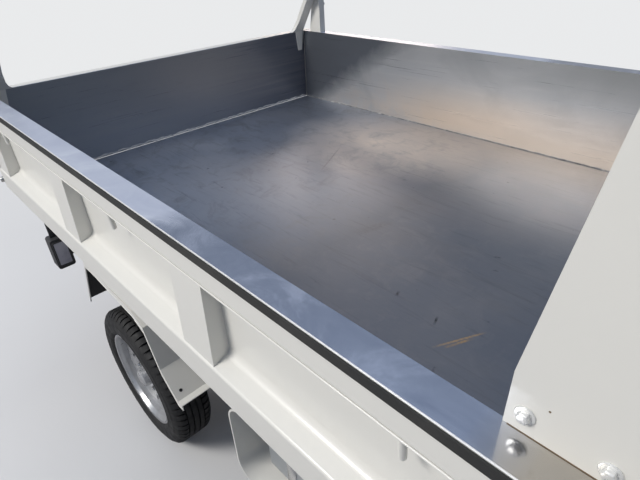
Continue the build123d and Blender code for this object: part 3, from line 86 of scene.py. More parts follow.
class Nodes:
    """A node tree, with a short call for each kind of node that the materials need."""

    def __init__(self, tree):
        self.tree = tree

    def feed(self, socket, value):
        """Links a socket to another node's output, or sets it to a number, a vector or a colour."""
        if isinstance(value, bpy.types.NodeSocket):
            self.tree.links.new(value, socket)
        elif socket.type == "RGBA":
            socket.default_value = (*value, 1)
        else:
            socket.default_value = value

    def add(self, kind, sockets=None, output=0, **settings):
        """A new node, set and fed, of which one output is given back."""
        node = self.tree.nodes.new("ShaderNode" + kind)
        for name, value in settings.items():
            setattr(node, name, value)
        for socket, value in (sockets or {}).items():
            self.feed(node.inputs[socket], value)
        return node.outputs[output]

    def coords(self, stretch=(1, 1, 1)):
        """Object coordinates, stretched."""
        return self.add("Mapping", {"Vector": self.add("TexCoord", output="Object"), "Scale": stretch})

    def split(self, vector):
        """The three numbers of a vector."""
        x = self.add("SeparateXYZ", {0: vector})
        return x.node.outputs

    def noise(self, vector, scale, detail=4, rough=0.55, distortion=0):
        return self.add("TexNoise", {"Vector": vector, "Scale": scale, "Detail": detail,
                                     "Roughness": rough, "Distortion": distortion}, "Fac")

    def remap(self, value, low, high, start=0.3, end=0.7):
        """Low at the start and high at the end, and no further."""
        return self.add("MapRange", {"Value": value, "From Min": start, "From Max": end,
                                     "To Min": low, "To Max": high}, "Result")

    def ramp(self, value, *stops):
        colour = self.add("ValToRGB", {"Fac": value}, "Color")
        elements = colour.node.color_ramp.elements
        while len(elements) < len(stops):
            elements.new(0.5)
        for element, (place, tone) in zip(elements, stops):
            element.position = place
            element.color = (*tone, 1)
        return colour

    def blend(self, factor, a, b, mode="MIX"):
        """Mixes two colours."""
        return self.add("Mix", {0: factor, 6: a, 7: b}, 2, data_type="RGBA", blend_type=mode)

    def layers(self, tone, coats):
        """Lays colours over a tone one after another, each through its own mask."""
        for mask, colour in coats:
            tone = self.blend(mask, tone, colour)
        return tone

    def mix(self, factor, a, b):
        """Mixes two numbers."""
        return self.add("Mix", {0: factor, 2: a, 3: b})

    def calc(self, operation, a, b=0.0, clamp=False):
        return self.add("Math", {0: a, 1: b}, operation=operation, use_clamp=clamp)

    def plus(self, a, b):
        return self.calc("ADD", a, b)

    def times(self, a, b, clamp=False):
        return self.calc("MULTIPLY", a, b, clamp)

    def vectors(self, operation, a, b=(0, 0, 0), output="Vector"):
        return self.add("VectorMath", {0: a, 1: b}, output, operation=operation)

    def patch(self, spot, centre, reach):
        """A soft round area on the X and Y plane: one in the middle, none at its edge."""
        away = self.vectors("SUBTRACT", spot, (*centre, 0))
        shrunk = self.vectors("MULTIPLY", away, (1 / reach[0], 1 / reach[1], 0))
        return self.remap(self.vectors("LENGTH", shrunk, output="Value"), 1, 0, 0, 1)

    def scratch(self, spot, start, end, width):
        """A narrow worn mark from one point of the floor to another."""
        along = Vector((end[0] - start[0], end[1] - start[1], 0))
        unit = along.normalized()
        middle = ((start[0] + end[0]) / 2, (start[1] + end[1]) / 2, 0)
        away = self.vectors("SUBTRACT", spot, middle)
        masks = []
        for direction, reach in ((unit, along.length / 2), (Vector((-unit.y, unit.x, 0)), width)):
            distance = self.calc("ABSOLUTE", self.vectors("DOT_PRODUCT", away, direction, "Value"))
            masks.append(self.remap(distance, 1, 0, reach * 0.4, reach))
        return self.times(*masks)


class Material(Nodes):
    """A new material with its shader, ready for nodes."""

    def __init__(self, name):
        self.material = bpy.data.materials.new(name)
        self.material.use_nodes = True
        super().__init__(self.material.node_tree)
        self.shader = self.tree.nodes["Principled BSDF"]

    def surface(self, sockets):
        for name, value in sockets.items():
            self.feed(self.shader.inputs[name], value)

    def bump(self, height, strength, distance):
        normal = self.add("Bump", {"Height": height, "Strength": strength, "Distance": distance}, "Normal")
        self.surface({"Normal": normal})


def painted(name, colour, shade, roughness, grain, bumpy, dirt=None, coat=0.0, metallic=0.0,
            stretch=(1, 1, 1)):
    """Paint, plastic, rubber or plain metal: two tones, uneven gloss, fine grain, dirt in patches."""
    n = Material(name)
    vector = n.coords(stretch)
    large = n.noise(vector, 2.3, 5, 0.6, 0.4)
    tone = n.ramp(large, (0.32, colour), (0.7, shade))
    if dirt:
        patches = n.remap(n.noise(vector, 7.0, 8, 0.7, 0.6), 0, dirt[1], 0.5, 0.78)
        tone = n.blend(patches, tone, dirt[0])
    fine = n.noise(vector, grain, 3)
    gloss = n.plus(n.remap(large, *roughness, 0.35, 0.7), n.remap(fine, -0.02, 0.03))
    n.surface({"Base Color": tone, "Roughness": gloss, "Metallic": metallic})
    if coat:
        n.surface({"Coat Weight": coat, "Coat Roughness": 0.08})
    n.bump(fine, bumpy, 0.001)
    return n.material


def stainless_material():
    """Worn stainless sheet: mottled floor, brushed walls and a smoother cap, with painted shade, shadow and
    reflections on walls, tailgate and floor.
    """
    n = Material("stainless_sheet")
    spot = n.add("TexCoord", output="Object")
    x, y, z = n.split(spot)
    normal = n.split(n.add("NewGeometry", output="Normal"))
    upward = n.calc("GREATER_THAN", n.calc("ABSOLUTE", normal[2]), 0.7)
    endways = n.calc("GREATER_THAN", n.calc("ABSOLUTE", normal[0]), 0.7)
    floor = n.times(upward, n.calc("LESS_THAN", z, FLOOR + 0.002))
    cap = n.times(upward, n.calc("GREATER_THAN", z, WALL_TOP - 0.02))
    up = n.remap(z, 0, 1, FLOOR, WALL_TOP)
    along = n.remap(x, 0, 1, TAIL, BED_FRONT)
    across = n.remap(y, 0, 1, -BED_HALF, BED_HALF)

    # Brushed grain runs along the walls and across the floor
    vector = n.coords()
    grain = n.noise(n.coords((2, 2, 520)), 1.0, 4, 0.6)
    band = n.noise(n.coords((1.4, 1.4, 46)), 1.0, 5, 0.6, 0.5)
    floor_grain = n.noise(n.coords((3, 420, 3)), 1.0, 4, 0.6)
    streak = n.noise(n.coords((5, 55, 5)), 1.0, 6, 0.7, 0.8)
    smear = n.noise(n.coords((0.9, 2.6, 1.0)), 3.0, 8, 0.62, 1.4)
    cloud = n.noise(vector, 2.2, 9, 0.62, 0.5)
    blot = n.noise(vector, 5.5, 7, 0.6, 1.2)
    mottle = n.noise(vector, 8, 7, 0.6, 1.0)
    haze = n.noise(vector, 9, 12, 0.72, 0.9)
    dents = n.noise(vector, 11, 3, 0.5)
    spots = n.noise(vector, 34, 2, 0.4)
    rough_edge = n.remap(n.noise(vector, 120, 3), 0.2, 1.0)

    # Walls: even grey, a painted warm reflection towards the floor, darker high up near the cab, and a painted
    # shadow of the tailgate by the tailgate
    warm = n.times(n.remap(up, 0.95, 0, 0.12, 0.62),
                   n.remap(n.plus(along, n.remap(blot, -0.10, 0.10)), 0, 1, 0.10, 0.36))
    upper = n.times(n.remap(up, 0, 0.8, 0.45, 1), n.remap(along, 0, 1, 0.35, 0.7))
    # Painted shadow of the tailgate on the wall, with a slanted edge
    tailgate_shadow = n.calc("SUBTRACT", n.plus(along, n.remap(cloud, -0.035, 0.035)), n.times(up, 0.27))
    wall_tone = n.ramp(band, (0.3, (0.56, 0.565, 0.57)), (0.55, (0.585, 0.59, 0.59)),
                       (0.75, (0.62, 0.62, 0.615)))
    wall_tone = n.layers(wall_tone, [
        (n.remap(smear, 0, 0.5, 0.45, 0.65), (0.42, 0.435, 0.44)),
        (warm, (0.70, 0.60, 0.50)),
        (upper, (0.36, 0.375, 0.38)),
        (n.remap(tailgate_shadow, 1, 0, -0.01, 0.075), (0.19, 0.205, 0.23))])
    # Tailgate and headboard: darker with painted shade, and darkest at the left corner with a painted dark
    # reflection
    end_tone = n.ramp(across, (0.0, (0.32, 0.355, 0.405)), (0.6, (0.36, 0.375, 0.41)),
                      (0.85, (0.23, 0.245, 0.29)), (1.0, (0.19, 0.20, 0.24)))
    end_tone = n.blend(n.remap(band, 0, 0.25, 0.45, 0.7), end_tone, (0.42, 0.43, 0.44))

    # Floor: blue-grey, darker towards the cab with painted shade
    floor_tone = n.ramp(cloud, (0.32, (0.29, 0.325, 0.39)), (0.5, (0.33, 0.36, 0.42)),
                        (0.7, (0.39, 0.41, 0.455)))
    floor_tone = n.blend(n.remap(smear, 0, 0.35, 0.54, 0.74), floor_tone, (0.36, 0.355, 0.365))
    shade = n.remap(along, 1.25, 0.47, 0.26, 0.55)
    painted_floor_shade = n.add("CombineColor", {0: shade, 1: shade, 2: shade})
    floor_tone = n.blend(1.0, floor_tone, painted_floor_shade, "MULTIPLY")
    # Soft areas: centre, ahead of the tail and to the left; reach; strength; colour. The first and the last are
    # painted reflections of the warm wall, and under the last the floor is hardly metallic.
    for (ahead, left), reach, strength, colour in (
            ((1.05, 0.50), (1.05, 0.55), 0.7, (0.33, 0.295, 0.28)),
            ((1.62, 0.32), (0.55, 0.30), 0.5, (0.27, 0.245, 0.25)),
            ((0.62, -0.05), (0.42, 0.50), 0.8, (0.33, 0.325, 0.345)),
            ((0.82, 0.45), (0.50, 0.36), 1.1, (0.66, 0.54, 0.44))):
        area = n.times(n.patch(spot, (TAIL + ahead, left), reach),
                       n.remap(blot, 0.7 * strength, strength), clamp=True)
        floor_tone = n.blend(area, floor_tone, colour)
    floor_tone = n.layers(floor_tone, [
        (n.remap(haze, 0, 0.55, 0.5, 0.68), (0.21, 0.215, 0.23)),
        (n.remap(streak, 0, 0.28, 0.45, 0.32), (0.085, 0.09, 0.105)),
        (n.remap(spots, 0, 0.5, 0.765, 0.785), (0.09, 0.09, 0.10))])
    # Two rusty scratches, a smudge, three dark specks and a faint scratch, from end to end
    for start, end, width, colour in (
            ((1.731, -0.440), (1.798, -0.305), 0.0038, (0.52, 0.34, 0.15)),
            ((1.752, -0.420), (1.786, -0.345), 0.0046, (0.44, 0.29, 0.14)),
            ((1.275, -0.190), (1.314, -0.040), 0.022, (0.14, 0.145, 0.165)),
            ((1.682, -0.337), (1.694, -0.372), 0.004, (0.04, 0.045, 0.05)),
            ((1.552, -0.322), (1.560, -0.345), 0.005, (0.04, 0.045, 0.05)),
            ((1.652, -0.016), (1.672, -0.006), 0.004, (0.05, 0.05, 0.055)),
            ((0.72, 0.33), (0.86, 0.05), 0.004, (0.22, 0.21, 0.21))):
        mark = n.scratch(spot, (TAIL + start[0], start[1]), (TAIL + end[0], end[1]), width)
        floor_tone = n.blend(n.times(mark, rough_edge), floor_tone, colour)

    # Cap: polished towards the cab, greyer and warmer beside the headboard's wing
    polished = n.remap(n.plus(along, n.remap(blot, -0.02, 0.02)), 0, 1, 0.57, 0.61)
    bright = n.ramp(mottle, (0.34, (0.36, 0.40, 0.49)), (0.52, (0.43, 0.47, 0.56)),
                    (0.66, (0.58, 0.62, 0.72)))
    cap_tone = n.ramp(mottle, (0.34, (0.50, 0.54, 0.65)), (0.55, (0.55, 0.59, 0.69)),
                      (0.70, (0.64, 0.68, 0.76)))
    cap_tone = n.layers(cap_tone, [(polished, bright),
                                   (n.remap(along, 0, 1, 0.875, 0.905), (0.46, 0.435, 0.40))])

    wall_rough = n.plus(n.remap(grain, 0.27, 0.36), n.remap(band, -0.03, 0.05))
    floor_rough = n.plus(n.remap(cloud, 0.36, 0.46), n.remap(floor_grain, -0.03, 0.04))
    cap_rough = n.plus(n.remap(polished, 0.30, 0.11, 0, 1), n.remap(mottle, 0, 0.08))
    # The floor is hardly metallic under the last painted reflection, so that its colour shows
    metal = n.mix(floor, 0.72, n.remap(area, 0.90, 0.15, 0, 0.9))
    n.surface({
        "Base Color": n.layers(wall_tone, [(endways, end_tone), (floor, floor_tone), (cap, cap_tone)]),
        "Metallic": n.mix(cap, metal, n.remap(polished, 0.4, 0.96, 0, 1)),
        "Roughness": n.mix(cap, n.mix(floor, wall_rough, floor_rough), cap_rough)})
    # Shallow dents in the walls, a faint grain everywhere
    n.bump(n.plus(n.times(grain, 0.05), n.times(dents, 0.9)), 0.09, 0.0022)
    return n.material


def tyre_material():
    n = Material("tyre_rubber")
    vector = n.coords()
    dust = n.remap(n.noise(vector, 9, 7, 0.7, 0.5), 0, 0.6, 0.45, 0.75)
    n.surface({"Base Color": n.blend(dust, (0.010, 0.010, 0.0105), (0.034, 0.031, 0.028)),
               "Roughness": n.remap(n.noise(vector, 30, 4), 0.55, 0.85)})
    n.bump(n.noise(vector, 320, 2), 0.25, 0.0008)
    return n.material


def glass_material(name, colour, alpha):
    n = Material(name)
    smear = n.noise(n.coords(), 3, 5, 0.6, 0.8)
    n.surface({"Base Color": n.ramp(smear, (0.3, colour), (0.7, tuple(c * 0.93 for c in colour))),
               "Roughness": n.remap(smear, 0.01, 0.05), "Alpha": alpha,
               "Coat Weight": 1.0, "Coat Roughness": 0.02})
    n.material.surface_render_method = "DITHERED"
    return n.material


def lens_material(name, colour, deep):
    """A moulded lens: coloured plastic with fine flutes."""
    n = Material(name)
    vector = n.coords()
    flutes = n.add("TexWave", {"Vector": vector, "Scale": 42, "Distortion": 0.3}, "Fac",
                   wave_type="BANDS", bands_direction="Z")
    n.surface({"Base Color": n.ramp(flutes, (0.2, deep), (0.8, colour)),
               "Roughness": n.remap(n.noise(vector, 60), 0.08, 0.2),
               "Coat Weight": 1.0, "Coat Roughness": 0.03})
    n.bump(flutes, 0.35, 0.0015)
    return n.material


def fabric_material(name, colour, shade):
    n = Material(name)
    vector = n.coords()
    weave = n.noise(vector, 420, 2)
    tone = n.ramp(n.noise(vector, 6, 5), (0.3, colour), (0.7, shade))
    threads = n.remap(weave, 0, 0.35, 0.45, 0.6)
    n.surface({"Base Color": n.blend(threads, tone, tuple(c * 0.55 for c in colour)),
               "Roughness": n.remap(weave, 0.75, 0.95), "Sheen Weight": 0.35})
    n.bump(weave, 0.5, 0.001)
    return n.material


# Each: name, colour, second colour, span of roughness, grain's scale, its height, dirt and its share
WHITE = painted("body_white", (0.72, 0.709, 0.664), (0.70, 0.69, 0.648), (0.34, 0.42), 30, 0.0, coat=0.25)
BLACK = painted("chassis_black", (0.022, 0.022, 0.024), (0.034, 0.033, 0.034), (0.4, 0.55), 90, 0.2,
                ((0.10, 0.085, 0.07), 0.5))
TRIM = painted("black_plastic", (0.028, 0.028, 0.03), (0.038, 0.038, 0.04), (0.45, 0.6), 420, 0.3,
               ((0.08, 0.075, 0.07), 0.18))
RUBBER = painted("black_rubber", (0.02, 0.02, 0.019), (0.03, 0.029, 0.027), (0.6, 0.78), 200, 0.25,
                 ((0.10, 0.095, 0.085), 0.3))
CABIN = painted("cabin_plastic", (0.10, 0.10, 0.108), (0.115, 0.113, 0.118), (0.5, 0.65), 520, 0.35)
SPRING = painted("spring_steel", (0.035, 0.034, 0.034), (0.05, 0.045, 0.04), (0.45, 0.6), 80, 0.25,
                 ((0.15, 0.09, 0.055), 0.4), metallic=0.2)
CAST = painted("cast_metal", (0.16, 0.16, 0.165), (0.2, 0.195, 0.19), (0.45, 0.6), 180, 0.6,
               ((0.10, 0.08, 0.06), 0.5), metallic=0.85)
EXHAUST = painted("exhaust_steel", (0.3, 0.28, 0.26), (0.23, 0.19, 0.16), (0.4, 0.6), 60, 0.2,
                  ((0.2, 0.10, 0.05), 0.55), metallic=0.9)
TANK = painted("tank_grey", (0.40, 0.42, 0.44), (0.35, 0.37, 0.385), (0.28, 0.42), 120, 0.1,
               ((0.30, 0.25, 0.18), 0.45), coat=0.25, metallic=0.5)
STEEL = painted("bright_steel", (0.66, 0.66, 0.67), (0.58, 0.58, 0.60), (0.14, 0.26), 200, 0.06,
                ((0.3, 0.28, 0.26), 0.2), metallic=1.0)
CHROME = painted("rod_chrome", (0.82, 0.82, 0.84), (0.76, 0.76, 0.78), (0.04, 0.1), 90, 0.02, metallic=1.0)
ALLOY = painted("wheel_silver", (0.50, 0.505, 0.515), (0.42, 0.425, 0.435), (0.28, 0.4), 40, 0.01,
                ((0.10, 0.09, 0.08), 0.4), coat=0.2, metallic=0.6)
UNDERSEAL = painted("dark_underseal", (0.020, 0.020, 0.022), (0.028, 0.028, 0.03), (0.6, 0.75), 160, 0.3,
                    ((0.06, 0.055, 0.05), 0.3))
LILAC = painted("lamp_body", (0.40, 0.39, 0.47), (0.52, 0.51, 0.56), (0.2, 0.35), 60, 0.02, coat=0.4)
SEALANT = painted("pale_sealant", (0.62, 0.62, 0.61), (0.48, 0.48, 0.48), (0.4, 0.55), 160, 0.4)
ZINC = painted("bolt_zinc", (0.62, 0.62, 0.60), (0.52, 0.51, 0.47), (0.22, 0.38), 240, 0.1,
               ((0.35, 0.31, 0.22), 0.3), metallic=1.0)
GREY = painted("panel_grey", (0.30, 0.31, 0.32), (0.27, 0.28, 0.29), (0.5, 0.62), 320, 0.25)
FIXING = painted("pale_zinc", (0.78, 0.78, 0.76), (0.70, 0.70, 0.68), (0.25, 0.38), 200, 0.08,
                 coat=0.2, metallic=0.35)
RUST = painted("seam_rust", (0.16, 0.105, 0.055), (0.09, 0.06, 0.035), (0.6, 0.75), 200, 0.2)
# The cap's stainless fold, painted pale as its highlight
FOLD_HIGHLIGHT = painted("cap_edge", (0.80, 0.80, 0.79), (0.72, 0.72, 0.72), (0.4, 0.5), 120, 0.05, metallic=0.2)
SEAM = painted("floor_seam", (0.10, 0.10, 0.105), (0.34, 0.34, 0.34), (0.5, 0.65), 60, 0.3,
               ((0.72, 0.70, 0.68), 1.0), metallic=0.3, stretch=(6, 6, 6))
MIRROR = painted("mirror_silver", (0.86, 0.87, 0.88), (0.84, 0.85, 0.86), (0.02, 0.04), 40, 0.0, metallic=1.0)
VINYL = painted("seat_vinyl", (0.07, 0.07, 0.078), (0.085, 0.084, 0.09), (0.45, 0.6), 600, 0.3)
GLASS = glass_material("window_glass", (0.28, 0.36, 0.35), 0.32)
CLEAR = glass_material("lamp_glass", (0.75, 0.79, 0.8), 0.38)
RED = lens_material("lens_red", (0.62, 0.02, 0.015), (0.30, 0.005, 0.005))
AMBER = lens_material("lens_amber", (0.85, 0.26, 0.01), (0.5, 0.12, 0.005))
MILK = lens_material("lens_white", (0.78, 0.79, 0.80), (0.55, 0.56, 0.58))
SEAT = fabric_material("seat_cloth", (0.14, 0.145, 0.165), (0.175, 0.18, 0.20))
TYRE = tyre_material()

slot_material = {
    "body_paint": WHITE, "stainless": stainless_material(), "chassis_paint": BLACK, "spring_steel": SPRING,
    "cast_metal": CAST, "exhaust_steel": EXHAUST, "tank_paint": TANK, "strip_rubber": RUBBER,
    "lamp_clear": CLEAR, "clear_glass": GLASS, "cab_trim": CABIN, "seat_fabric": SEAT, "bumper_plastic": TRIM,
    "rod_chrome": CHROME, "wheel_alloy": ALLOY, "tyre": TYRE,
}
for entry in frame["record"]["subparts"]:
    node = frame["nodes"][entry["node"]]
    node.data.materials.clear()
    node.data.materials.append(slot_material[entry["material_slot"]])


class Piece:
    """Gathers solids of one finish into one mesh."""

    def __init__(self):
        self.points = []
        self.faces = []

    def add(self, points, faces):
        base = len(self.points)
        self.points += [tuple(p) for p in points]
        self.faces += [tuple(i + base for i in face) for face in faces]

    def box(self, low, high):
        spans = [(min(pair), max(pair)) for pair in zip(low, high)]
        points = [(x, y, z) for x in spans[0] for y in spans[1] for z in spans[2]]
        self.add(points, [(0, 1, 3, 2), (4, 6, 7, 5), (0, 4, 5, 1), (2, 3, 7, 6), (0, 2, 6, 4), (1, 5, 7, 3)])

    def slab(self, low, high):
        """Two outlines of as many points, joined into a solid."""
        count = len(low)
        faces = [tuple(range(count)), tuple(range(2 * count - 1, count - 1, -1))]
        faces += [(i, (i + 1) % count, count + (i + 1) % count, count + i) for i in range(count)]
        self.add(low + high, faces)

    def prism(self, outline, axis, low, high):
        """An outline of two coordinates carried along the third."""
        place = {"x": lambda p, q, v: (v, p, q), "y": lambda p, q, v: (p, v, q),
                 "z": lambda p, q, v: (p, q, v)}
        self.slab(*[[place[axis](p, q, value) for p, q in outline] for value in (low, high)])

    def lathe(self, profile, origin, axis, sides=32, closed=False):
        """A profile of radius and distance turned about an axis. A closed profile makes a ring."""
        turn = Vector(axis).normalized().to_track_quat("Z", "Y").to_matrix()
        origin = Vector(origin)
        rows, points, faces = [], [], []
        for radius, along in profile:
            if radius < 1e-6:
                rows.append([len(points)] * sides)
                points.append(origin + turn @ Vector((0, 0, along)))
                continue
            rows.append(list(range(len(points), len(points) + sides)))
            for i in range(sides):
                a = 2 * math.pi * i / sides
                points.append(origin + turn @ Vector((radius * math.cos(a), radius * math.sin(a), along)))
        for a, b in list(zip(rows, rows[1:])) + ([(rows[-1], rows[0])] if closed else []):
            for i in range(sides):
                j = (i + 1) % sides
                face = list(dict.fromkeys((a[i], a[j], b[j], b[i])))
                if len(face) > 2:
                    faces.append(tuple(face))
        self.add(points, faces)

    def disc(self, place, axis, radius, height, sides, foot=0):
        self.lathe([(0, foot), (radius, foot), (radius, height), (0, height)], place, axis, sides)

    def tube(self, path, radius, sides=12, ring=False):
        """A round bar along a path. Radius may change from point to point."""
        path = [Vector(p) for p in path]
        count = len(path)
        radii = radius if isinstance(radius, (list, tuple)) else [radius] * count
        points, faces = [], []
        up = None
        for i, p in enumerate(path):
            before = path[i - 1] if i or ring else p
            after = path[(i + 1) % count] if i < count - 1 or ring else p
            along = (after - before).normalized()
            if up is None:
                up = along.orthogonal().normalized()
            up = (up - along * up.dot(along)).normalized()
            side = along.cross(up)
            for k in range(sides):
                a = 2 * math.pi * k / sides
                points.append(p + (up * math.cos(a) + side * math.sin(a)) * radii[i])
        for i in range(count if ring else count - 1):
            j = (i + 1) % count
            for k in range(sides):
                m = (k + 1) % sides
                faces.append((i * sides + k, i * sides + m, j * sides + m, j * sides + k))
        if not ring:
            faces += [tuple(range(sides)), tuple(range(len(points) - 1, len(points) - sides - 1, -1))]
        self.add(points, faces)

    def bolt(self, place, axis, size=0.008, height=0.007, washer=0.0018):
        """A hexagon head, on a washer unless its thickness is 0."""
        place, axis = Vector(place), Vector(axis).normalized()
        if washer:
            self.disc(place, axis, size * 1.35, washer, 20)
        self.lathe([(0, washer), (size, washer), (size, washer + height * 0.8), (size * 0.8, washer + height),
                    (0, washer + height)], place, axis, 6)

    def make(self, name, body, mat, slot=None, bevel=0.0, segments=2, angle=35):
        """The mesh as an object that rides on a body, smooth with its sharp edges kept."""
        mesh = bpy.data.meshes.new(name)
        mesh.from_pydata(self.points, [], self.faces)
        shape = bmesh.new()
        shape.from_mesh(mesh)
        bmesh.ops.remove_doubles(shape, verts=shape.verts, dist=1e-6)
        bmesh.ops.recalc_face_normals(shape, faces=shape.faces)
        if bevel:
            edges = [e for e in shape.edges if e.is_manifold and e.calc_face_angle(0) > 0.6]
            bmesh.ops.bevel(shape, geom=edges, offset=bevel, segments=segments, profile=0.5,
                            affect="EDGES", clamp_overlap=True)
        shape.to_mesh(mesh)
        shape.free()
        mesh.materials.append(mat)
        obj = bpy.data.objects.new(name, mesh)
        bpy.context.scene.collection.objects.link(obj)
        mesh.shade_smooth()
        mesh.set_sharp_from_angle(angle=math.radians(angle))
        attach(obj, body)
        return obj


def arc(centre, radius, start, end, count):
    """Points on an arc, as pairs."""
    return [(centre[0] + radius * math.cos(math.radians(start + (end - start) * i / count)),
             centre[1] + radius * math.sin(math.radians(start + (end - start) * i / count)))
            for i in range(count + 1)]


# Tyres with ribs, shoulder blocks and ringed side walls
tread_depth = 0.008
tread_base = TYRE_RADIUS - tread_depth
rim_seat = 0.1794
block_count = 62
nut_count = 5
nut_circle = 0.0555
# Radius and distance from the wheel's middle, from the rim over the side wall to the tread
half_section = [
    (rim_seat, 0.050), (0.1885, 0.0562), (0.1914, 0.0586), (0.1922, 0.0642), (0.1950, 0.0690),
    (0.2000, 0.0716), (0.2040, 0.0728), (0.2056, 0.0740), (0.2078, 0.0740), (0.2098, 0.0728),
    (0.2200, 0.0741), (0.2300, 0.0749), (0.2380, 0.0741), (0.2425, 0.0746), (0.2450, 0.0744),
    (0.2470, 0.0727), (0.2560, 0.0705), (0.2640, 0.0668), (0.2705, 0.0600),
    (tread_base - 0.001, 0.0490), (tread_base, 0.0300),
]
for place in ("rear_right", "rear_left", "front_right", "front_left"):
    body = f"{place}_wheel"
    centre = Vector(joints[f"{place}_spin"]["pos_m"])
    side = 1 if centre.y > 0 else -1
    out = Vector((0, side, 0))
    piece = Piece()
    section = half_section + [(r, -a) for r, a in reversed(half_section)]
    inner = [(rim_seat, -0.030), (0.213, -0.0335), (0.251, -0.0395), (0.251, 0.0395), (0.213, 0.0335),
             (rim_seat, 0.030)]
    piece.lathe(section + inner, centre, out, 96, closed=True)
    # Three ribs round the middle
    for rib in (-0.0225, 0.0, 0.0225):
        piece.lathe([(tread_base - 0.002, rib - 0.0085), (TYRE_RADIUS, rib - 0.0075),
                     (TYRE_RADIUS, rib + 0.0075), (tread_base - 0.002, rib + 0.0085)],
                    centre, out, 96, closed=True)
    # Shoulder blocks, staggered from side to side
    half_angle = math.pi / block_count * 0.72
    for row in (-1, 1):
        for index in range(block_count):
            middle = 2 * math.pi * (index + (0.5 if row > 0 else 0)) / block_count
            outline = [(TYRE_RADIUS, row * 0.0345), (TYRE_RADIUS, row * 0.047), (0.2775, row * 0.0575),
                       (0.2655, row * 0.0672), (0.2600, row * 0.0664), (0.266, row * 0.050),
                       (0.272, row * 0.0345)]
            flanks = []
            for shift in (-half_angle, half_angle):
                angles = [middle + shift + 0.24 * (abs(along) - 0.05) for radius, along in outline]
                flanks.append([centre + Vector((radius * math.cos(a), side * along, radius * math.sin(a)))
                               for a, (radius, along) in zip(angles, outline)])
            piece.slab(*flanks)
    tyre = piece.make(f"tread_{place}", body, TYRE, angle=40)
    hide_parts(f"tyre_{place}")

    # Wheel: polished lip, centre cap and nuts
    piece = Piece()
    piece.lathe([(0.1812, 0.0628), (0.1812, 0.0645), (0.1835, 0.0662), (0.1880, 0.0668), (0.1910, 0.0656),
                 (0.1916, 0.0636), (0.1908, 0.0628)], centre, out, 96, closed=True)
    piece.make(f"rim_lip_{place}", body, STEEL, "wheel_alloy", angle=50)
    piece = Piece()
    piece.lathe([(0, 0.0655), (0.020, 0.0653), (0.027, 0.0638), (0.0305, 0.0605), (0.0338, 0.0590),
                 (0.0350, 0.0500), (0.0350, 0.0210), (0, 0.0210)], centre, out, 48)
    piece.make(f"hub_cap_{place}", body, ALLOY, angle=50)
    piece = Piece()
    for index in range(nut_count):
        a = 2 * math.pi * (index + 0.25) / nut_count
        spot = centre + Vector((nut_circle * math.cos(a), side * 0.0215, nut_circle * math.sin(a)))
        piece.lathe([(0, 0), (0.0125, 0), (0.0118, 0.004), (0.0095, 0.0045), (0.0095, 0.017),
                     (0.0075, 0.0205), (0, 0.0205)], spot, out, 6)
    piece.make(f"wheel_nuts_{place}", body, ZINC, "wheel_alloy", angle=30)

# Bolts on the headboard's wings and on the hinge posts, a small hole and a dark line at the wing's foot
bolts, holes = Piece(), Piece()
for side in (-1, 1):
    out = (0, side, 0)
    outer = side * (BED_HALF + 0.005)
    for ahead, up in ((2.053, 0.386), (2.134, 0.380), (2.250, 0.387), (2.160, 0.79)):
        bolts.lathe([(0, 0), (0.0112, 0), (0.0112, 0.0012), (0.0104, 0.0018), (0, 0.0018)],
                    (TAIL + ahead, outer, FLOOR + up), out, 28)
        bolts.bolt((TAIL + ahead, outer + side * 0.0017, FLOOR + up), out, 0.0075, 0.0065, 0)
    holes.disc((TAIL + 2.073, outer, FLOOR + 0.4085), out, 0.0012, 0.0003, 12)
    foot = WALL_TOP + 0.0005
    holes.tube([(TAIL + 2.038, outer, foot), (BED_FRONT - 0.004, outer, foot)], 0.0007, 8)
    post = side * (BED_HALF + 0.037)
    for ahead, up in ((0.094, 0.385), (0.119, 0.496)):
        bolts.bolt((TAIL + ahead, post, FLOOR + up), out, 0.0085, 0.008)
    bolts.disc((TAIL + 0.105, side * (BED_HALF + 0.0472), FLOOR + 0.545), out, 0.0165, 0.002, 24)
    bolts.bolt((TAIL + 0.105, side * (BED_HALF + 0.0490), FLOOR + 0.545), out, 0.011, 0.010, 0)
bolts.make("bed_bolts", "bed", FIXING, "stainless", bevel=0.0005)
holes.make("wing_seams", "bed", RUST, "stainless", angle=60)

# A rounded fold along the cap's outer edge, in a pale finish that paints the fold's highlight
folds = Piece()
for side in (-1, 1):
    edge = side * (RAIL_OUTER - 0.0008)
    folds.tube([(x, edge, WALL_TOP - 0.0012) for x in (TAIL, BED_FRONT)], 0.0014, 12)
folds.make("cap_folds", "bed", FOLD_HIGHLIGHT, "stainless", angle=60)


def bead(piece, start, end, radius, step=0.011, wander=0.0015):
    """A hand-laid weld bead: a tube whose size and place vary."""
    start, end = Vector(start), Vector(end)
    count = max(2, int((end - start).length / step))
    path, radii = [], []
    for i in range(count + 1):
        p = start.lerp(end, i / count)
        p += Vector([random.uniform(-wander, wander) * 0.5 for _ in range(3)])
        path.append(p)
        radii.append(radius * random.uniform(0.7, 1.25))
    radii[0] = radii[-1] = radius * 0.4
    piece.tube(path, radii, 8)


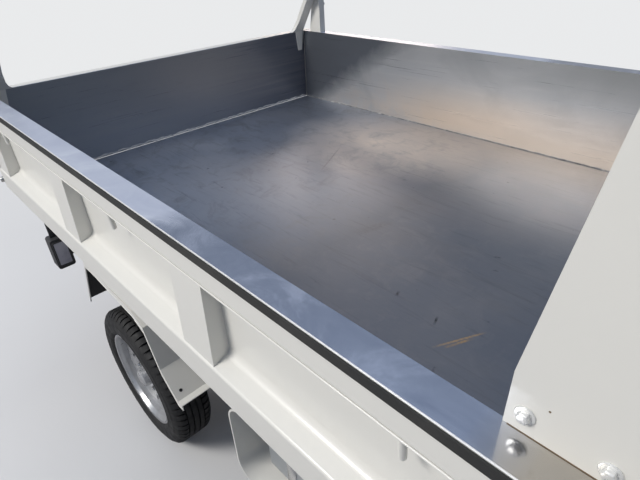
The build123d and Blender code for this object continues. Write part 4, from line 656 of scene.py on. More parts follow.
beads = Piece()
front = BED_FRONT - 0.001
for side in (-1, 1):
    y = side * (BED_HALF - 0.001)
    bead(beads, (TAIL + 0.01, y, FLOOR + 0.001), (BED_FRONT - 0.005, y, FLOOR + 0.001), 0.0031)
    bead(beads, (front, y, FLOOR + 0.004), (front, y, WALL_TOP - 0.01), 0.0028)
bead(beads, (front, -BED_HALF + 0.003, FLOOR + 0.001), (front, BED_HALF - 0.003, FLOOR + 0.001), 0.003)
beads.make("bed_welds", "bed", SEAM, "stainless", angle=80)
beads = Piece()
x, reach, height = TAIL - 0.0045, BED_HALF - 0.006, FLOOR + 0.006
bead(beads, (x, -reach, height), (x, reach, height), 0.0042, 0.014, 0.007)
beads.make("gate_weld", "gate", SEALANT, "stainless", angle=80)


def cab_half(z):
    """Half width of the cab's skin at a height."""
    rows = ((0.43, 0.822), (0.62, 0.8335), (0.85, 0.838), (1.00, 0.8365), (1.15, 0.832), (1.79, 0.776),
            (1.876, 0.65))
    for (z0, y0), (z1, y1) in zip(rows, rows[1:]):
        if z <= z1:
            return y0 + (y1 - y0) * (z - z0) / (z1 - z0)
    return rows[-1][1]


def rounded(outline, radius, steps=5):
    """A closed outline with its corners rounded."""
    points = []
    count = len(outline)
    for i, corner in enumerate(outline):
        p = Vector(corner)
        a = p + (Vector(outline[i - 1]) - p).normalized() * radius
        b = p + (Vector(outline[(i + 1) % count]) - p).normalized() * radius
        for k in range(steps + 1):
            t = k / steps
            points.append(tuple(a * (1 - t) ** 2 + p * 2 * t * (1 - t) + b * t * t))
    return points


def nose(y, out=0.0):
    """Where the cab's bowed front stands, at a distance from the middle."""
    return NOSE + out - y * y / 9.96


def rect(low, high):
    return [(low[0], low[1]), (high[0], low[1]), (high[0], high[1]), (low[0], high[1])]


def panel(low, high, radius):
    """A rectangle with rounded corners."""
    return rounded(rect(low, high), radius)


# Window seals: a rubber bead round each door window, the windscreen and the rear window
rake, rise = 0.470, 0.595
slope = Vector((-rake, 0, rise)).normalized()
outward = Vector((rise, 0, rake)).normalized()


def on_screen(y, up, out=0.0):
    """A point on the windscreen's plane, up along its slope."""
    return Vector((1.897, y, 1.205)) + slope * up + outward * out


for side, hand in ((-1, "right"), (1, "left")):
    seal = Piece()
    outline = rounded([(0.622, 1.195), (1.537, 1.195), (1.287, 1.725), (0.622, 1.725)], 0.02)
    seal.tube([(x, side * (cab_half(z) - 0.0015), z) for x, z in outline], 0.0065, 10, ring=True)
    seal.make(f"window_seal_{hand}", f"{hand}_door", RUBBER, angle=60)
    # Door handle in its dished plate, with the lock below
    y = side * cab_half(1.03)
    handle = Piece()
    handle.prism(panel((0.595, 1.012), (0.765, 1.078), 0.02), "y", y - side * 0.004, y + side * 0.003)
    grip = ((0.612, 0.001, 1.048), (0.620, 0.018, 1.050), (0.645, 0.026, 1.051),
            (0.715, 0.026, 1.051), (0.742, 0.018, 1.050), (0.750, 0.001, 1.048))
    handle.tube([(x, y + side * proud, z) for x, proud, z in grip], 0.0085, 12)
    handle.lathe([(0, 0), (0.010, 0), (0.009, 0.003), (0, 0.0035)], (0.615, y + side * 0.002, 1.024),
                 (0, side, 0), 20)
    handle.make(f"door_handle_{hand}", f"{hand}_door", TRIM, bevel=0.0012)
    # Scuff moulding along the door's skin
    y = side * cab_half(0.80)
    strip = Piece()
    bulge = ((-0.004, 0.775), (0.006, 0.782), (0.0075, 0.800), (0.006, 0.818), (-0.004, 0.825))
    strip.prism([(y + side * proud, z) for proud, z in bulge], "x", 0.565, 1.600)
    strip.make(f"door_moulding_{hand}", f"{hand}_door", TRIM, bevel=0.0012)
    # Door's inner card with its arm rest and winder
    card = Piece()
    inner = side * 0.786
    card.prism(panel((0.72, 0.87), (1.50, 1.12), 0.04), "y", inner, inner + side * 0.010)
    card.box((0.86, inner - side * 0.050, 0.985), (1.16, inner + side * 0.004, 1.022))
    card.lathe([(0, 0), (0.022, 0), (0.020, 0.012), (0, 0.014)], (1.28, inner + side * 0.002, 0.95),
               (0, -side, 0), 20)
    card.tube([(1.28, inner - side * 0.010, 0.95), (1.34, inner - side * 0.018, 0.93),
               (1.345, inner - side * 0.045, 0.928)], 0.006, 10)
    card.make(f"door_card_{hand}", f"{hand}_door", CABIN, bevel=0.003)

seal = Piece()
ring = rounded([(-0.72, 0.0), (0.72, 0.0), (0.61, 0.758), (-0.61, 0.758)], 0.05)
seal.tube([on_screen(y, up, -0.001) for y, up in ring], 0.0095, 10, ring=True)
ring = rounded([(-0.56, 1.24), (0.56, 1.24), (0.56, 1.70), (-0.56, 1.70)], 0.03)
seal.tube([(0.3285, y, z) for y, z in ring], 0.008, 10, ring=True)
# Wheel arch lips
for side in (-1, 1):
    lip = []
    for k in range(25):
        a = math.radians(26 + 128 * k / 24)
        z = 0.283 + 0.347 * math.sin(a)
        lip.append((FRONT_AXLE + 0.347 * math.cos(a), side * (cab_half(z) - 0.001), z))
    seal.tube(lip, 0.009, 10)
seal.make("cab_seals", "chassis", RUBBER, angle=60)

# Rain gutters, along the roof's edges
gutter = Piece()
for side in (-1, 1):
    line = ((0.365, 0.748), (0.8, 0.748), (1.30, 0.748), (1.378, 0.747))
    gutter.tube([(x, side * y, 1.8475) for x, y in line], [0.005, 0.0085, 0.0085, 0.005], 10)
gutter.make("rain_gutters", "chassis", WHITE, angle=60)

# Wipers, parked along the windscreen's foot
wiper = Piece()
for pivot, reach in ((-0.42, 0.50), (0.16, 0.50)):
    wiper.lathe([(0, -0.004), (0.017, -0.004), (0.016, 0.012), (0.009, 0.018), (0, 0.018)],
                on_screen(pivot, 0.028), outward, 20)
    wiper.tube([on_screen(pivot, 0.028, 0.014), on_screen(pivot + reach * 0.3, 0.05, 0.026),
                on_screen(pivot + reach * 0.62, 0.072, 0.021)], [0.0065, 0.0055, 0.0035], 10)
    wiper.tube([on_screen(pivot + reach * 0.12, 0.055, 0.0125),
                on_screen(pivot + reach * 0.62, 0.072, 0.0145),
                on_screen(pivot + reach * 1.08, 0.088, 0.0125)], 0.0045, 10)
    wiper.tube([on_screen(pivot + reach * 0.10, 0.054, 0.0045),
                on_screen(pivot + reach * 1.10, 0.089, 0.0045)], 0.0042, 8)
wiper.make("wipers", "chassis", TRIM, angle=50)

# Mirrors: glass facing rearwards in a rolled rim, and a rounded back
mirror_y = extent("mirrors", Y)[1] - 0.070
glass, rims = Piece(), Piece()
for side in (-1, 1):
    middle = side * mirror_y
    glass.prism(panel((middle - 0.060, 1.196), (middle + 0.060, 1.390), 0.014), "x", 1.6815, 1.6850)
    span = (middle - 0.064, 1.191), (middle + 0.064, 1.395)
    rims.tube([(1.6828, y, z) for y, z in panel(*span, 0.014)], 0.004, 8, ring=True)
    rims.prism(panel(*span, 0.02), "x", 1.722, 1.733)
glass.make("mirror_glass", "chassis", MIRROR, "rod_chrome", bevel=0.0006)
rims.make("mirror_backs", "chassis", TRIM, bevel=0.005, segments=3)

# Headlamps: bezel, bowl and bulb behind the clear lens, an amber lamp outboard; side lamps
lamp_y, lamp_height = 0.598, 0.835
bezel, bowls, bulbs, amber = Piece(), Piece(), Piece(), Piece()
for side in (-1, 1):
    bezel.prism(rect((side * 0.524, 0.774), (side * 0.726, 0.896)), "x", 1.905, 1.912)
    where = (1.912, side * lamp_y, lamp_height)
    bowls.lathe([(0.010, 0.002), (0.030, 0.010), (0.046, 0.030), (0.053, 0.062), (0.056, 0.064),
                 (0.056, 0.000), (0.010, 0.000)], where, (1, 0, 0), 40, closed=True)
    bulbs.lathe([(0, 0.0), (0.009, 0.0), (0.009, 0.030), (0.006, 0.038), (0, 0.041)], where, (1, 0, 0), 20)
    circle = arc((side * lamp_y, lamp_height), 0.060, 0, 345, 23)
    bowls.tube([(1.960, y, z) for y, z in circle], 0.003, 8, ring=True)
    amber.prism(panel((side * 0.668, 0.782), (side * 0.718, 0.888), 0.008), "x", 1.909, 1.952)
    y = side * cab_half(0.90)
    amber.prism(panel((1.742, 0.895), (1.812, 0.925), 0.007), "y", y - side * 0.004, y + side * 0.009)
bezel.make("lamp_bezels", "chassis", TRIM, bevel=0.001)
bowls.make("lamp_bowls", "chassis", CHROME, angle=50)
bulbs.make("lamp_bulbs", "chassis", MILK, "lamp_clear", angle=50)
amber.make("amber_lamps", "chassis", AMBER, "lamp_clear", bevel=0.002)

# Grille: dark mesh of upright vanes behind the slots, and a dark panel behind them
slot_count, slot_pitch, first_slot = 4, 0.032, 0.775
vanes = Piece()
for row in range(slot_count):
    base = first_slot + row * slot_pitch
    for k in range(43):
        y = -0.42 + k * 0.02
        vanes.box((nose(y, -0.036), y - 0.0016, base - 0.001), (nose(y, -0.010), y + 0.0016, base + 0.019))
    for k in range(22):
        y = -0.44 + k * 0.04
        vanes.box((nose(y, -0.040), y, base - 0.002), (nose(y, -0.032), y + 0.04, base + 0.020))
vanes.make("grille_vanes", "chassis", TRIM)

# Front bumper: a grooved strip, fog lamps, blank plate and a towing eye cover
plate_half, plate_bolt = 0.156, 0.125
trim, plate, fog = Piece(), Piece(), Piece()
for height in (0.590, 0.602):
    trim.tube([(nose(y, 0.0585), y, height) for y in [k * 0.06 - 0.60 for k in range(21)]], 0.003, 8)
trim.prism(panel((-0.36, 0.412), (0.36, 0.440), 0.006), "x", 2.100, 2.1262)
trim.prism(panel((0.300, 0.500), (0.345, 0.545), 0.006), "x", 2.095, 2.1175)
plate.prism(panel((-plate_half, 0.452), (plate_half, 0.582), 0.008), "x", 2.112, 2.1285)
for side in (-1, 1):
    where = (nose(0.55, 0.052), side * 0.55, 0.500)
    trim.lathe([(0.038, 0.0), (0.052, 0.0), (0.050, 0.009), (0.043, 0.012), (0.038, 0.008)], where,
               (1, 0, 0), 36, closed=True)
    fog.lathe([(0, 0.010), (0.020, 0.0085), (0.0385, 0.004), (0.0385, 0.0), (0, 0.0)], where, (1, 0, 0), 36)
    plate.bolt((2.1285, side * plate_bolt, 0.517), (1, 0, 0), 0.006, 0.004)
trim.make("bumper_trim", "chassis", RUBBER, "bumper_plastic", bevel=0.001)
plate.make("front_plate", "chassis", GREY, "cab_trim", bevel=0.0015)
fog.make("fog_lamps", "chassis", MILK, "lamp_clear", angle=50)

# Dashboard: hooded cluster, vents, centre panel, glove box; column stalks, pedals, levers
driver_y = joints["steering_turn"]["pos_m"][1]
seat_y = abs(driver_y)
lever_y = -0.10
dash, dark, dials = Piece(), Piece(), Piece()
dash.prism([(1.440, 1.105), (1.432, 1.168), (1.452, 1.186), (1.560, 1.172), (1.560, 1.100)],
           "y", -0.535, -0.265)
dash.prism(panel((0.245, 0.935), (0.620, 1.060), 0.02), "x", 1.480, 1.494)
dash.box((1.479, 0.400, 1.040), (1.482, 0.465, 1.052))
for y in (-0.475, -0.40, -0.325):
    where, facing = (1.4405, y, 1.142), (-1, 0, 0.10)
    dials.lathe([(0.024, 0.0), (0.029, 0.0), (0.029, 0.006), (0.025, 0.006)], where, facing, 28, closed=True)
    dark.disc(where, facing, 0.0255, 0.003, 28)
    dials.box((1.4355, y - 0.001, 1.142), (1.4375, y + 0.001, 1.160))
for middle in (-0.66, -0.10, 0.12, 0.67):
    dark.prism(panel((middle - 0.055, 1.048), (middle + 0.055, 1.092), 0.008), "x", 1.484, 1.494)
    for k in range(4):
        dash.box((1.481, middle - 0.050, 1.054 + k * 0.010), (1.488, middle + 0.050, 1.057 + k * 0.010))
dark.prism(panel((-0.105, 0.905), (0.115, 1.035), 0.010), "x", 1.485, 1.500)
for y, z, r in ((-0.07, 1.00, 0.012), (0.08, 1.00, 0.012), (-0.06, 0.935, 0.015), (0.005, 0.935, 0.015),
                (0.07, 0.935, 0.015)):
    dials.lathe([(0, 0), (r, 0), (r * 0.85, 0.014), (0, 0.015)], (1.486, y, z), (-1, 0, 0), 20)
for side in (-1, 1):
    dark.tube([(1.330, driver_y + side * 0.02, 1.045), (1.325, driver_y + side * 0.09, 1.055),
               (1.322, driver_y + side * 0.155, 1.060)], [0.008, 0.006, 0.008], 10)
for y, width in ((-0.275, 0.05), (-0.385, 0.075), (-0.500, 0.075)):
    dark.tube([(1.66, y, 0.845), (1.615, y, 0.76), (1.575, y, 0.665)], 0.007, 8)
    dark.prism([(1.566, 0.700), (1.552, 0.640), (1.564, 0.636), (1.580, 0.694)], "y", y - width / 2,
               y + width / 2)
dark.lathe([(0.012, 0.0), (0.062, 0.0), (0.052, 0.018), (0.030, 0.060), (0.012, 0.075)],
           (1.335, lever_y, 0.559), (0, 0, 1), 28, closed=True)
dark.tube([(1.335, lever_y, 0.57), (1.325, lever_y, 0.78), (1.305, lever_y, 0.93)], 0.008, 10)
dark.lathe([(0, 0), (0.014, 0.002), (0.022, 0.020), (0.020, 0.038), (0, 0.046)],
           (1.305, lever_y, 0.925), (-0.1, 0, 1), 24)
dark.box((1.02, -0.060, 0.849), (1.20, -0.015, 0.880))
dark.tube([(1.04, -0.038, 0.870), (1.10, -0.038, 0.900), (1.235, -0.038, 0.930)], [0.010, 0.010, 0.013], 10)
# Sun visors and the inner mirror hang from the roof
for side in (-1, 1):
    dash.prism(panel((1.205, side * 0.36 - 0.215), (1.345, side * 0.36 + 0.215), 0.03), "z", 1.770, 1.786)
    for y in (side * 0.36 - 0.16, side * 0.36 + 0.16):
        dash.tube([(1.325, y, 1.778), (1.325, y, 1.868)], 0.006, 8)
dash.prism([(1.300, 1.690), (1.306, 1.762), (1.322, 1.765), (1.322, 1.688)], "y", -0.115, 0.115)
dash.tube([(1.316, 0, 1.74), (1.330, 0, 1.80), (1.330, 0, 1.868)], 0.006, 8)
dash.make("dash_panels", "chassis", CABIN, bevel=0.003)
dark.make("dash_controls", "chassis", TRIM, "cab_trim", bevel=0.0012, angle=40)
dials.make("dash_dials", "chassis", MILK, "cab_trim", angle=50)
glass = Piece()
glass.prism(panel((-0.108, 1.696), (0.108, 1.756), 0.012), "x", 1.2985, 1.3020)
glass.make("inner_mirror", "chassis", MIRROR, "rod_chrome")

# Steering wheel: a padded boss and a stitched rim cover
stitch_count, rim_radius, cover_radius = 72, 0.185, 0.0146
turn = Vector(joints["steering_turn"]["axis"])
centre = Vector(joints["steering_turn"]["pos_m"])
boss = Piece()
boss.lathe([(0, 0.030), (0.030, 0.029), (0.052, 0.024), (0.062, 0.012), (0.062, -0.012), (0, -0.012)],
           centre, turn, 40)
across = Vector((0, 1, 0))
upright = turn.cross(across)
for k in range(stitch_count):
    a = 2 * math.pi * k / stitch_count
    ray = across * math.cos(a) + upright * math.sin(a)
    ring = [centre + ray * (rim_radius + cover_radius * math.cos(b)) + turn * cover_radius * math.sin(b)
            for b in (2 * math.pi * m / 12 for m in range(12))]
    boss.tube(ring, 0.0011, 5, ring=True)
boss.make("wheel_boss", "hand_wheel", VINYL, "cab_trim", angle=60)


def pad(name, centre, half, edge, crown, axis, grooves, tilt=0.0):
    """A stuffed pad inside a box: rounded edges, crowned faces and stitched grooves across its front."""
    count = 52
    groove_width = 0.009
    steps = [-math.cos(math.pi * k / count) for k in range(count + 1)]
    points, faces, seen = [], [], {}
    for face_axis in range(3):
        for sign in (-1.0, 1.0):
            grid = []
            for a in steps:
                for b in steps:
                    p = [0.0, 0.0, 0.0]
                    p[face_axis], p[(face_axis + 1) % 3], p[(face_axis + 2) % 3] = sign, a, b
                    key = tuple(round(v, 6) for v in p)
                    if key not in seen:
                        q = Vector([v * h for v, h in zip(p, half)])
                        core = Vector([max(edge - h, min(h - edge, v)) for v, h in zip(q, half)])
                        q = core + (q - core).normalized() * edge
                        u, v = [p[m] for m in range(3) if m != axis]
                        q[axis] *= 1 - crown / half[axis] * (1 - (1 - u * u) * (1 - v * v))
                        if q[axis] > half[axis] * 0.4:
                            q[axis] -= sum(depth * math.exp(-((q[g] - place) / groove_width) ** 2)
                                           for g, place, depth in grooves)
                        seen[key] = len(points)
                        points.append(q)
                    grid.append(seen[key])
            for i in range(count):
                for j in range(count):
                    corner = i * (count + 1) + j
                    faces.append((grid[corner], grid[corner + count + 1], grid[corner + count + 2],
                                  grid[corner + 1]))
    lean = Matrix.Rotation(tilt, 3, "Y")
    piece = Piece()
    piece.add([Vector(centre) + lean @ q for q in points], faces)
    obj = piece.make(name, "chassis", SEAT, angle=180)
    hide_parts("seats")


for side, hand in ((-1, "right"), (1, "left")):
    y = side * seat_y
    pad(f"seat_cushion_{hand}", (0.740, y, 0.9205), (0.245, 0.238, 0.0695), 0.034, 0.014, 2,
        [(1, -0.12, 0.007), (1, 0.0, 0.007), (1, 0.12, 0.007), (0, 0.15, 0.007)])
    pad(f"seat_backrest_{hand}", (0.477, y, 1.266), (0.053, 0.236, 0.279), 0.030, 0.012, 0,
        [(1, -0.12, 0.006), (1, 0.0, 0.006), (1, 0.12, 0.006), (2, 0.17, 0.006)], tilt=-0.0855)

# The seats' side trims and recliner knobs
trim = Piece()
for side in (-1, 1):
    for reach in (-0.246, 0.246):
        y = side * seat_y + reach * 0.965
        trim.prism([(0.50, 0.852), (0.94, 0.852), (0.92, 0.882), (0.53, 0.888)], "y", y - 0.006, y + 0.006)
    trim.lathe([(0, 0), (0.022, 0), (0.019, 0.012), (0, 0.014)],
               (0.560, side * seat_y + 0.236, 0.905), (0, 1, 0), 24)
trim.make("seat_trims", "chassis", TRIM, "cab_trim", bevel=0.002)

# Axles: U-bolts with plates and nuts, dampers, brake pipes, and the diff cover's bolts
clamps, dampers, pipes = Piece(), Piece(), Piece()
spring_y, leg = 0.345, 0.034
for axle_x, base, under in ((REAR_AXLE, 0.321, 0.236), (FRONT_AXLE, 0.311, 0.248)):
    plate_top = base + 0.0485
    for side in (-1, 1):
        y = side * spring_y
        clamps.box((axle_x - 0.052, y - 0.042, base + 0.0405), (axle_x + 0.052, y + 0.042, plate_top))
        for x in (axle_x - 0.036, axle_x + 0.036):
            bend = ((-leg, base + 0.066), (-leg, under + 0.030), (-0.026, under + 0.010), (0, under),
                    (0.026, under + 0.010), (leg, under + 0.030), (leg, base + 0.066))
            clamps.tube([(x, y + reach, z) for reach, z in bend], 0.0055, 10)
            for reach in (-leg, leg):
                clamps.bolt((x, y + reach, plate_top), (0, 0, 1), 0.010, 0.010)
clamps.make("spring_clamps", "chassis", SPRING, bevel=0.0008)
for axle_x, top, foot in ((REAR_AXLE, 0.640, 0.300), (FRONT_AXLE, 0.470, 0.262)):
    for side in (-1, 1):
        low = Vector((axle_x + 0.055, side * 0.268, foot))
        high = Vector((axle_x + 0.150, side * 0.297, top))
        dampers.tube([low, low.lerp(high, 0.55)], 0.022, 20)
        dampers.tube([low.lerp(high, 0.45), high], 0.0265, 20)
        for point in (low, high):
            dampers.lathe([(0, -0.016), (0.020, -0.016), (0.020, 0.016), (0, 0.016)], point, (0, 1, 0), 20)
        dampers.tube([high, (high.x, side * 0.318, high.z)], 0.009, 10)
        dampers.tube([low, (axle_x, side * 0.268, foot)], 0.012, 10)
dampers.make("dampers", "chassis", BLACK, bevel=0.001)
tip_x, _, tip_z = joints["bed_tip"]["pos_m"]
for side in (-1, 1):
    for drop in (0.0, 0.012):
        run = ((TAIL + 0.40, 0.655), (-0.02, 0.655), (0.12, 0.615), (0.36, 0.498), (1.85, 0.498))
        pipes.tube([(x, side * 0.3125, z - drop) for x, z in run], 0.0035, 8)
    # Rivets and bolt heads along the rails
    for count, first, step, heights in ((11, TAIL + 0.22, 0.155, (0.606, 0.674)),
                                        (9, 0.48, 0.17, (0.446, 0.514))):
        for place in [(first + k * step, side * 0.3748, z) for k in range(count) for z in heights]:
            pipes.lathe([(0, 0.0045), (0.005, 0.0038), (0.0085, 0.0), (0, 0.0)], place, (0, side, 0), 10)
    # End caps of the tipping hinge's pins
    pipes.lathe([(0, 0), (0.026, 0), (0.026, 0.004), (0.018, 0.006), (0, 0.006)],
                (tip_x, side * 0.3965, tip_z), (0, side, 0), 24)
cover_bolts = 10
for _, (y, z) in zip(range(cover_bolts), arc((0, TYRE_RADIUS), 0.082, 0, 360, cover_bolts)):
    pipes.bolt((REAR_AXLE - 0.088, y, z), (-1, 0, 0), 0.007, 0.006)
pipes.make("chassis_hardware", "chassis", SPRING, "chassis_paint", angle=40)

# Tank: straps, filler cap with its bar, drain plug; battery box: latches and louvres
box_face = round(extent("battery_box", Y)[1] - 0.0005, 4)
box_foot, box_lid = extent("battery_box", Z)
strap_inner, strap_outer = 0.4270, 0.7450
straps = Piece()
for side in (-1, 1):
    for x in (-0.505, -0.200):
        for inner, low, outer, high in (
                (box_face, box_foot - 0.005, strap_outer, box_lid + 0.005),
                (strap_inner, box_foot - 0.005, strap_inner + 0.0035, box_lid + 0.005),
                (strap_inner, box_lid - 0.0005, strap_outer, box_lid + 0.003),
                (strap_inner, box_foot - 0.003, strap_outer, box_foot + 0.0005)):
            straps.box((x - 0.016, side * inner, low), (x + 0.016, side * outer, high))
        straps.bolt((x, side * strap_outer, 0.655), (0, side, 0), 0.007, 0.007)
straps.make("box_straps", "chassis", STEEL, "tank_paint", bevel=0.0008)
cap = Piece()
cap.lathe([(0, 0.026), (0.026, 0.026), (0.032, 0.021), (0.032, 0.006), (0.038, 0.004), (0.038, -0.002),
           (0, -0.002)], (-0.350, -0.742, 0.625), (0, -1, 0), 40)
cap.box((-0.374, -0.776, 0.619), (-0.326, -0.766, 0.631))
cap.lathe([(0, 0.010), (0.010, 0.010), (0.012, 0.0), (0, 0.0)], (-0.55, -0.60, 0.4755), (0, 0, -1), 6)
for x in (-0.45, -0.25):
    cap.prism(panel((x - 0.022, 0.600), (x + 0.022, 0.650), 0.006), "y", box_face, 0.7490)
    cap.tube([(x - 0.014, 0.752, 0.612), (x - 0.014, 0.758, 0.642), (x + 0.014, 0.758, 0.642),
              (x + 0.014, 0.752, 0.612)], 0.0035, 8)
for k in range(6):
    cap.box((-0.40, box_face, 0.500 + k * 0.012), (-0.28, 0.7450, 0.504 + k * 0.012))
cap.make("tank_fittings", "chassis", TRIM, bevel=0.001)

# Rear mudguards: underseal inside, a rolled white edge, a small hole at the front corner
profile = [(-0.361, 0.193), (-0.250, 0.418), (-0.162, 0.420), (0.123, 0.403), (0.187, 0.372),
           (0.235, 0.221), (0.314, 0.134)]
inside, edges = Piece(), Piece()
for side in (-1, 1):
    upper = [(REAR_AXLE + x, TYRE_RADIUS + z - 0.0028) for x, z in profile]
    lower = [(x, z - 0.0040) for x, z in reversed(upper)]
    inside.prism(upper + lower, "y", side * 0.5605, side * 0.7868)
    edges.tube([(REAR_AXLE + x, side * 0.7885, TYRE_RADIUS + z - 0.0225) for x, z in profile], 0.0026, 8)
    inside.lathe([(0, 0.0006), (0.0055, 0.0006), (0.0055, -0.001), (0, -0.001)],
                 (REAR_AXLE + 0.296, side * 0.765, TYRE_RADIUS + 0.154), (0.741, 0, 0.671), 20)
inside.make("fender_linings", "chassis", UNDERSEAL, "chassis_paint", angle=30)
edges.make("fender_edges", "chassis", WHITE, angle=60)

# Tail lamps: ribbed lenses behind, a pale recessed panel ahead, a hanger above each
red, amber, milk, pale, hang = Piece(), Piece(), Piece(), Piece(), Piece()
for side in (-1, 1):
    for lens, foot, top in ((red, 0.548, 0.600), (amber, 0.508, 0.544), (milk, 0.466, 0.504)):
        outline = panel((side * 0.732, foot), (side * 0.791, top), 0.006)
        lens.prism(outline, "x", TAIL - 0.0035, TAIL + 0.003)
    outline = panel((side * 0.736, 0.478), (side * 0.787, 0.588), 0.006)
    pale.prism(outline, "x", TAIL + 0.0585, TAIL + 0.0612)
    outline = panel((side * 0.7335, 0.4745), (side * 0.7895, 0.5915), 0.007)
    hang.tube([(TAIL + 0.0605, y, z) for y, z in outline], 0.0032, 8, ring=True)
    hang.box((TAIL + 0.022, side * 0.742, 0.605), (TAIL + 0.030, side * 0.782, 0.688))
    hang.tube([(TAIL + 0.030, side * 0.755, 0.630), (TAIL + 0.075, side * 0.750, 0.625),
               (TAIL + 0.10, side * 0.70, 0.600), (TAIL + 0.05, side * 0.62, 0.566)], 0.005, 8)
    hang.bolt((TAIL + 0.030, side * 0.762, 0.668), (1, 0, 0), 0.006, 0.005)
    red.prism(panel((side * 0.47, 0.515), (side * 0.54, 0.550), 0.006), "x", -2.0655, -2.0620)
red.make("red_lenses", "chassis", RED, "bumper_plastic", bevel=0.001)
amber.make("rear_amber", "chassis", AMBER, "bumper_plastic", bevel=0.001)
milk.make("reversing_lenses", "chassis", MILK, "bumper_plastic", bevel=0.001)
pale.make("lamp_panels", "chassis", LILAC, "bumper_plastic", bevel=0.0012)
hang.box((-2.0640, -0.040, 0.562), (-2.0300, 0.040, 0.582))
eye = ((0.22, 0.506), (0.22, 0.475), (0.245, 0.452), (0.275, 0.452), (0.30, 0.475), (0.30, 0.506))
hang.tube([(-2.043, y, z) for y, z in eye], 0.0085, 12)
hang.make("lamp_hangers", "chassis", TRIM, bevel=0.0008)
plate = Piece()
plate.prism(panel((-plate_half, 0.447), (plate_half, 0.558), 0.008), "x", -2.0662, -2.0622)
for side in (-1, 1):
    plate.bolt((-2.0662, side * plate_bolt, 0.520), (-1, 0, 0), 0.006, 0.004)
plate.make("rear_plate", "chassis", GREY, "cab_trim", bevel=0.0012)

# Tailgate: latch pins at its lower corners
pins = Piece()
for side in (-1, 1):
    pins.lathe([(0, 0.014), (0.009, 0.014), (0.011, 0.011), (0.011, 0.0), (0.017, 0.0), (0.017, -0.002),
                (0, -0.002)], (TAIL - 0.026, side * 0.846, 0.895), (0, side, 0), 24)
pins.make("latch_pins", "gate", ZINC, "stainless", angle=40)

# Bed: a fold line under each rail's lip
crease = Piece()
for side in (-1, 1):
    crease.tube([(x, side * 0.8452, 1.159) for x in (TAIL + 0.001, BED_FRONT + 0.040)], 0.0022, 8)
crease.make("lip_folds", "bed", WHITE, angle=60)

# Studio: a pale floor, a broad key light from behind the truck's right side, sky-like fill
BACKDROP = (0.86, 0.87, 0.88)
BACKDROP_STRENGTH = 0.95
scene = bpy.context.scene
floor_mesh = bpy.data.meshes.new("studio_floor")
floor_mesh.from_pydata([(-40, -40, 0), (40, -40, 0), (40, 40, 0), (-40, 40, 0)], [], [(0, 1, 2, 3)])
studio_floor = bpy.data.objects.new("studio_floor", floor_mesh)
scene.collection.objects.link(studio_floor)
n = Material("studio_floor")
seen = n.add("LightPath", output="Is Camera Ray")
tone = n.ramp(n.noise(n.coords(), 0.6, 3), (0.3, (0.62, 0.62, 0.62)), (0.7, (0.65, 0.65, 0.65)))
n.surface({"Base Color": n.blend(seen, (0.34, 0.34, 0.35), tone), "Roughness": 0.8})
# Away from the truck the floor turns into the backdrop
distance = n.vectors("LENGTH", n.add("TexCoord", output="Object"), output="Value")
faded = n.times(n.remap(distance, 0, 1, 2.2, 6.5), seen)
backdrop = n.add("Emission", {"Color": BACKDROP, "Strength": BACKDROP_STRENGTH})
mixed = n.add("MixShader", {0: faded, 1: n.shader.outputs[0], 2: backdrop})
n.feed(n.tree.nodes["Material Output"].inputs["Surface"], mixed)
floor_mesh.materials.append(n.material)
studio_floor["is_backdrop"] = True

scene.world = bpy.data.worlds.new("studio")
scene.world.use_nodes = True
scene.world.node_tree.nodes.clear()
n = Nodes(scene.world.node_tree)
x, y, z = n.split(n.add("TexCoord", output="Generated"))
sky = n.ramp(n.remap(z, 0, 1, -0.2, 1.0), (0.0, (0.30, 0.29, 0.28)), (0.2, (0.50, 0.49, 0.47)),
             (0.36, (0.72, 0.76, 0.84)), (1.0, (0.62, 0.74, 0.98)))
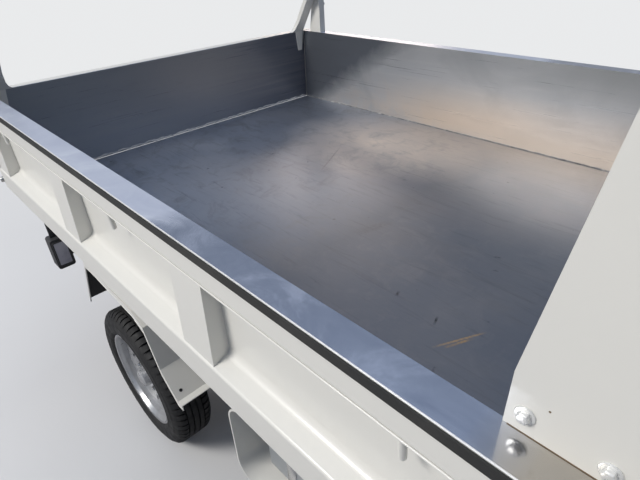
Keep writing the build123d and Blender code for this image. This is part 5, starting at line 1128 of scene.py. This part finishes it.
# Less light comes from ahead of the truck, and cooler
cool = n.blend(1.0, sky, (0.86, 0.97, 1.15), "MULTIPLY")
light = n.add("Background", {"Color": n.blend(n.remap(x, 0, 1, -0.1, 0.7), sky, cool),
                             "Strength": n.remap(x, 0.56, 0.27, -0.1, 0.7)})
shown = n.add("Background", {"Color": BACKDROP, "Strength": BACKDROP_STRENGTH})
seen = n.add("LightPath", output="Is Camera Ray")
world_output = n.tree.nodes.new("ShaderNodeOutputWorld")
n.feed(world_output.inputs["Surface"], n.add("MixShader", {0: seen, 1: light, 2: shown}))

# Lamps: name, place, target, size, power and colour
for name, place, target, size, power, colour in (
        ("key", (-2.6, -5.6, 5.6), (-0.8, 0, 0.8), (2.4, 2.4), 440, (1.0, 0.97, 0.925)),
        ("glow", (-5.2, 4.6, 3.2), (-1.2, 0.2, 0.9), (2.6, 1.5), 62, (1.0, 0.82, 0.66)),
        ("front", (6.2, 0, 1.7), (2.0, 0, 1.0), (1.3, 1.2), 70, (0.9, 0.95, 1.0)),
        ("top", (-0.8, 0.6, 6.2), (-0.8, 0, 0.8), (5.0, 3.5), 32, (0.88, 0.93, 1.0))):
    data = bpy.data.lights.new(name, "AREA")
    data.shape = "RECTANGLE"
    data.size, data.size_y = size
    data.energy = power
    data.color = colour
    lamp = bpy.data.objects.new(name, data)
    lamp.location = place
    lamp.rotation_mode = "QUATERNION"
    lamp.rotation_quaternion = (Vector(target) - Vector(place)).to_track_quat("-Z", "Y")
    scene.collection.objects.link(lamp)

# Camera as solved from the bed's edges in the photograph
camera_data = bpy.data.cameras.new("photo_view")
camera_data.sensor_width = 36.0
camera_data.lens = 27.04
camera_data.clip_start = 0.05
camera_data.clip_end = 120
camera = bpy.data.objects.new("photo_view", camera_data)
right = Vector((0.6970062, 0.71598193, -0.03939846))
down = Vector((0.35883889, -0.39584336, -0.84530627))
ahead = Vector((-0.62081964, 0.575046, -0.53282743))
turn = Matrix((right, -down, -ahead)).transposed()
camera.matrix_world = Matrix.Translation((0.072, -1.147, 1.666)) @ turn.to_4x4()
scene.collection.objects.link(camera)
scene.camera = camera
scene.view_settings.view_transform = "Standard"
scene.view_settings.look = "None"
scene.view_settings.exposure = 0.0

low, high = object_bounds()
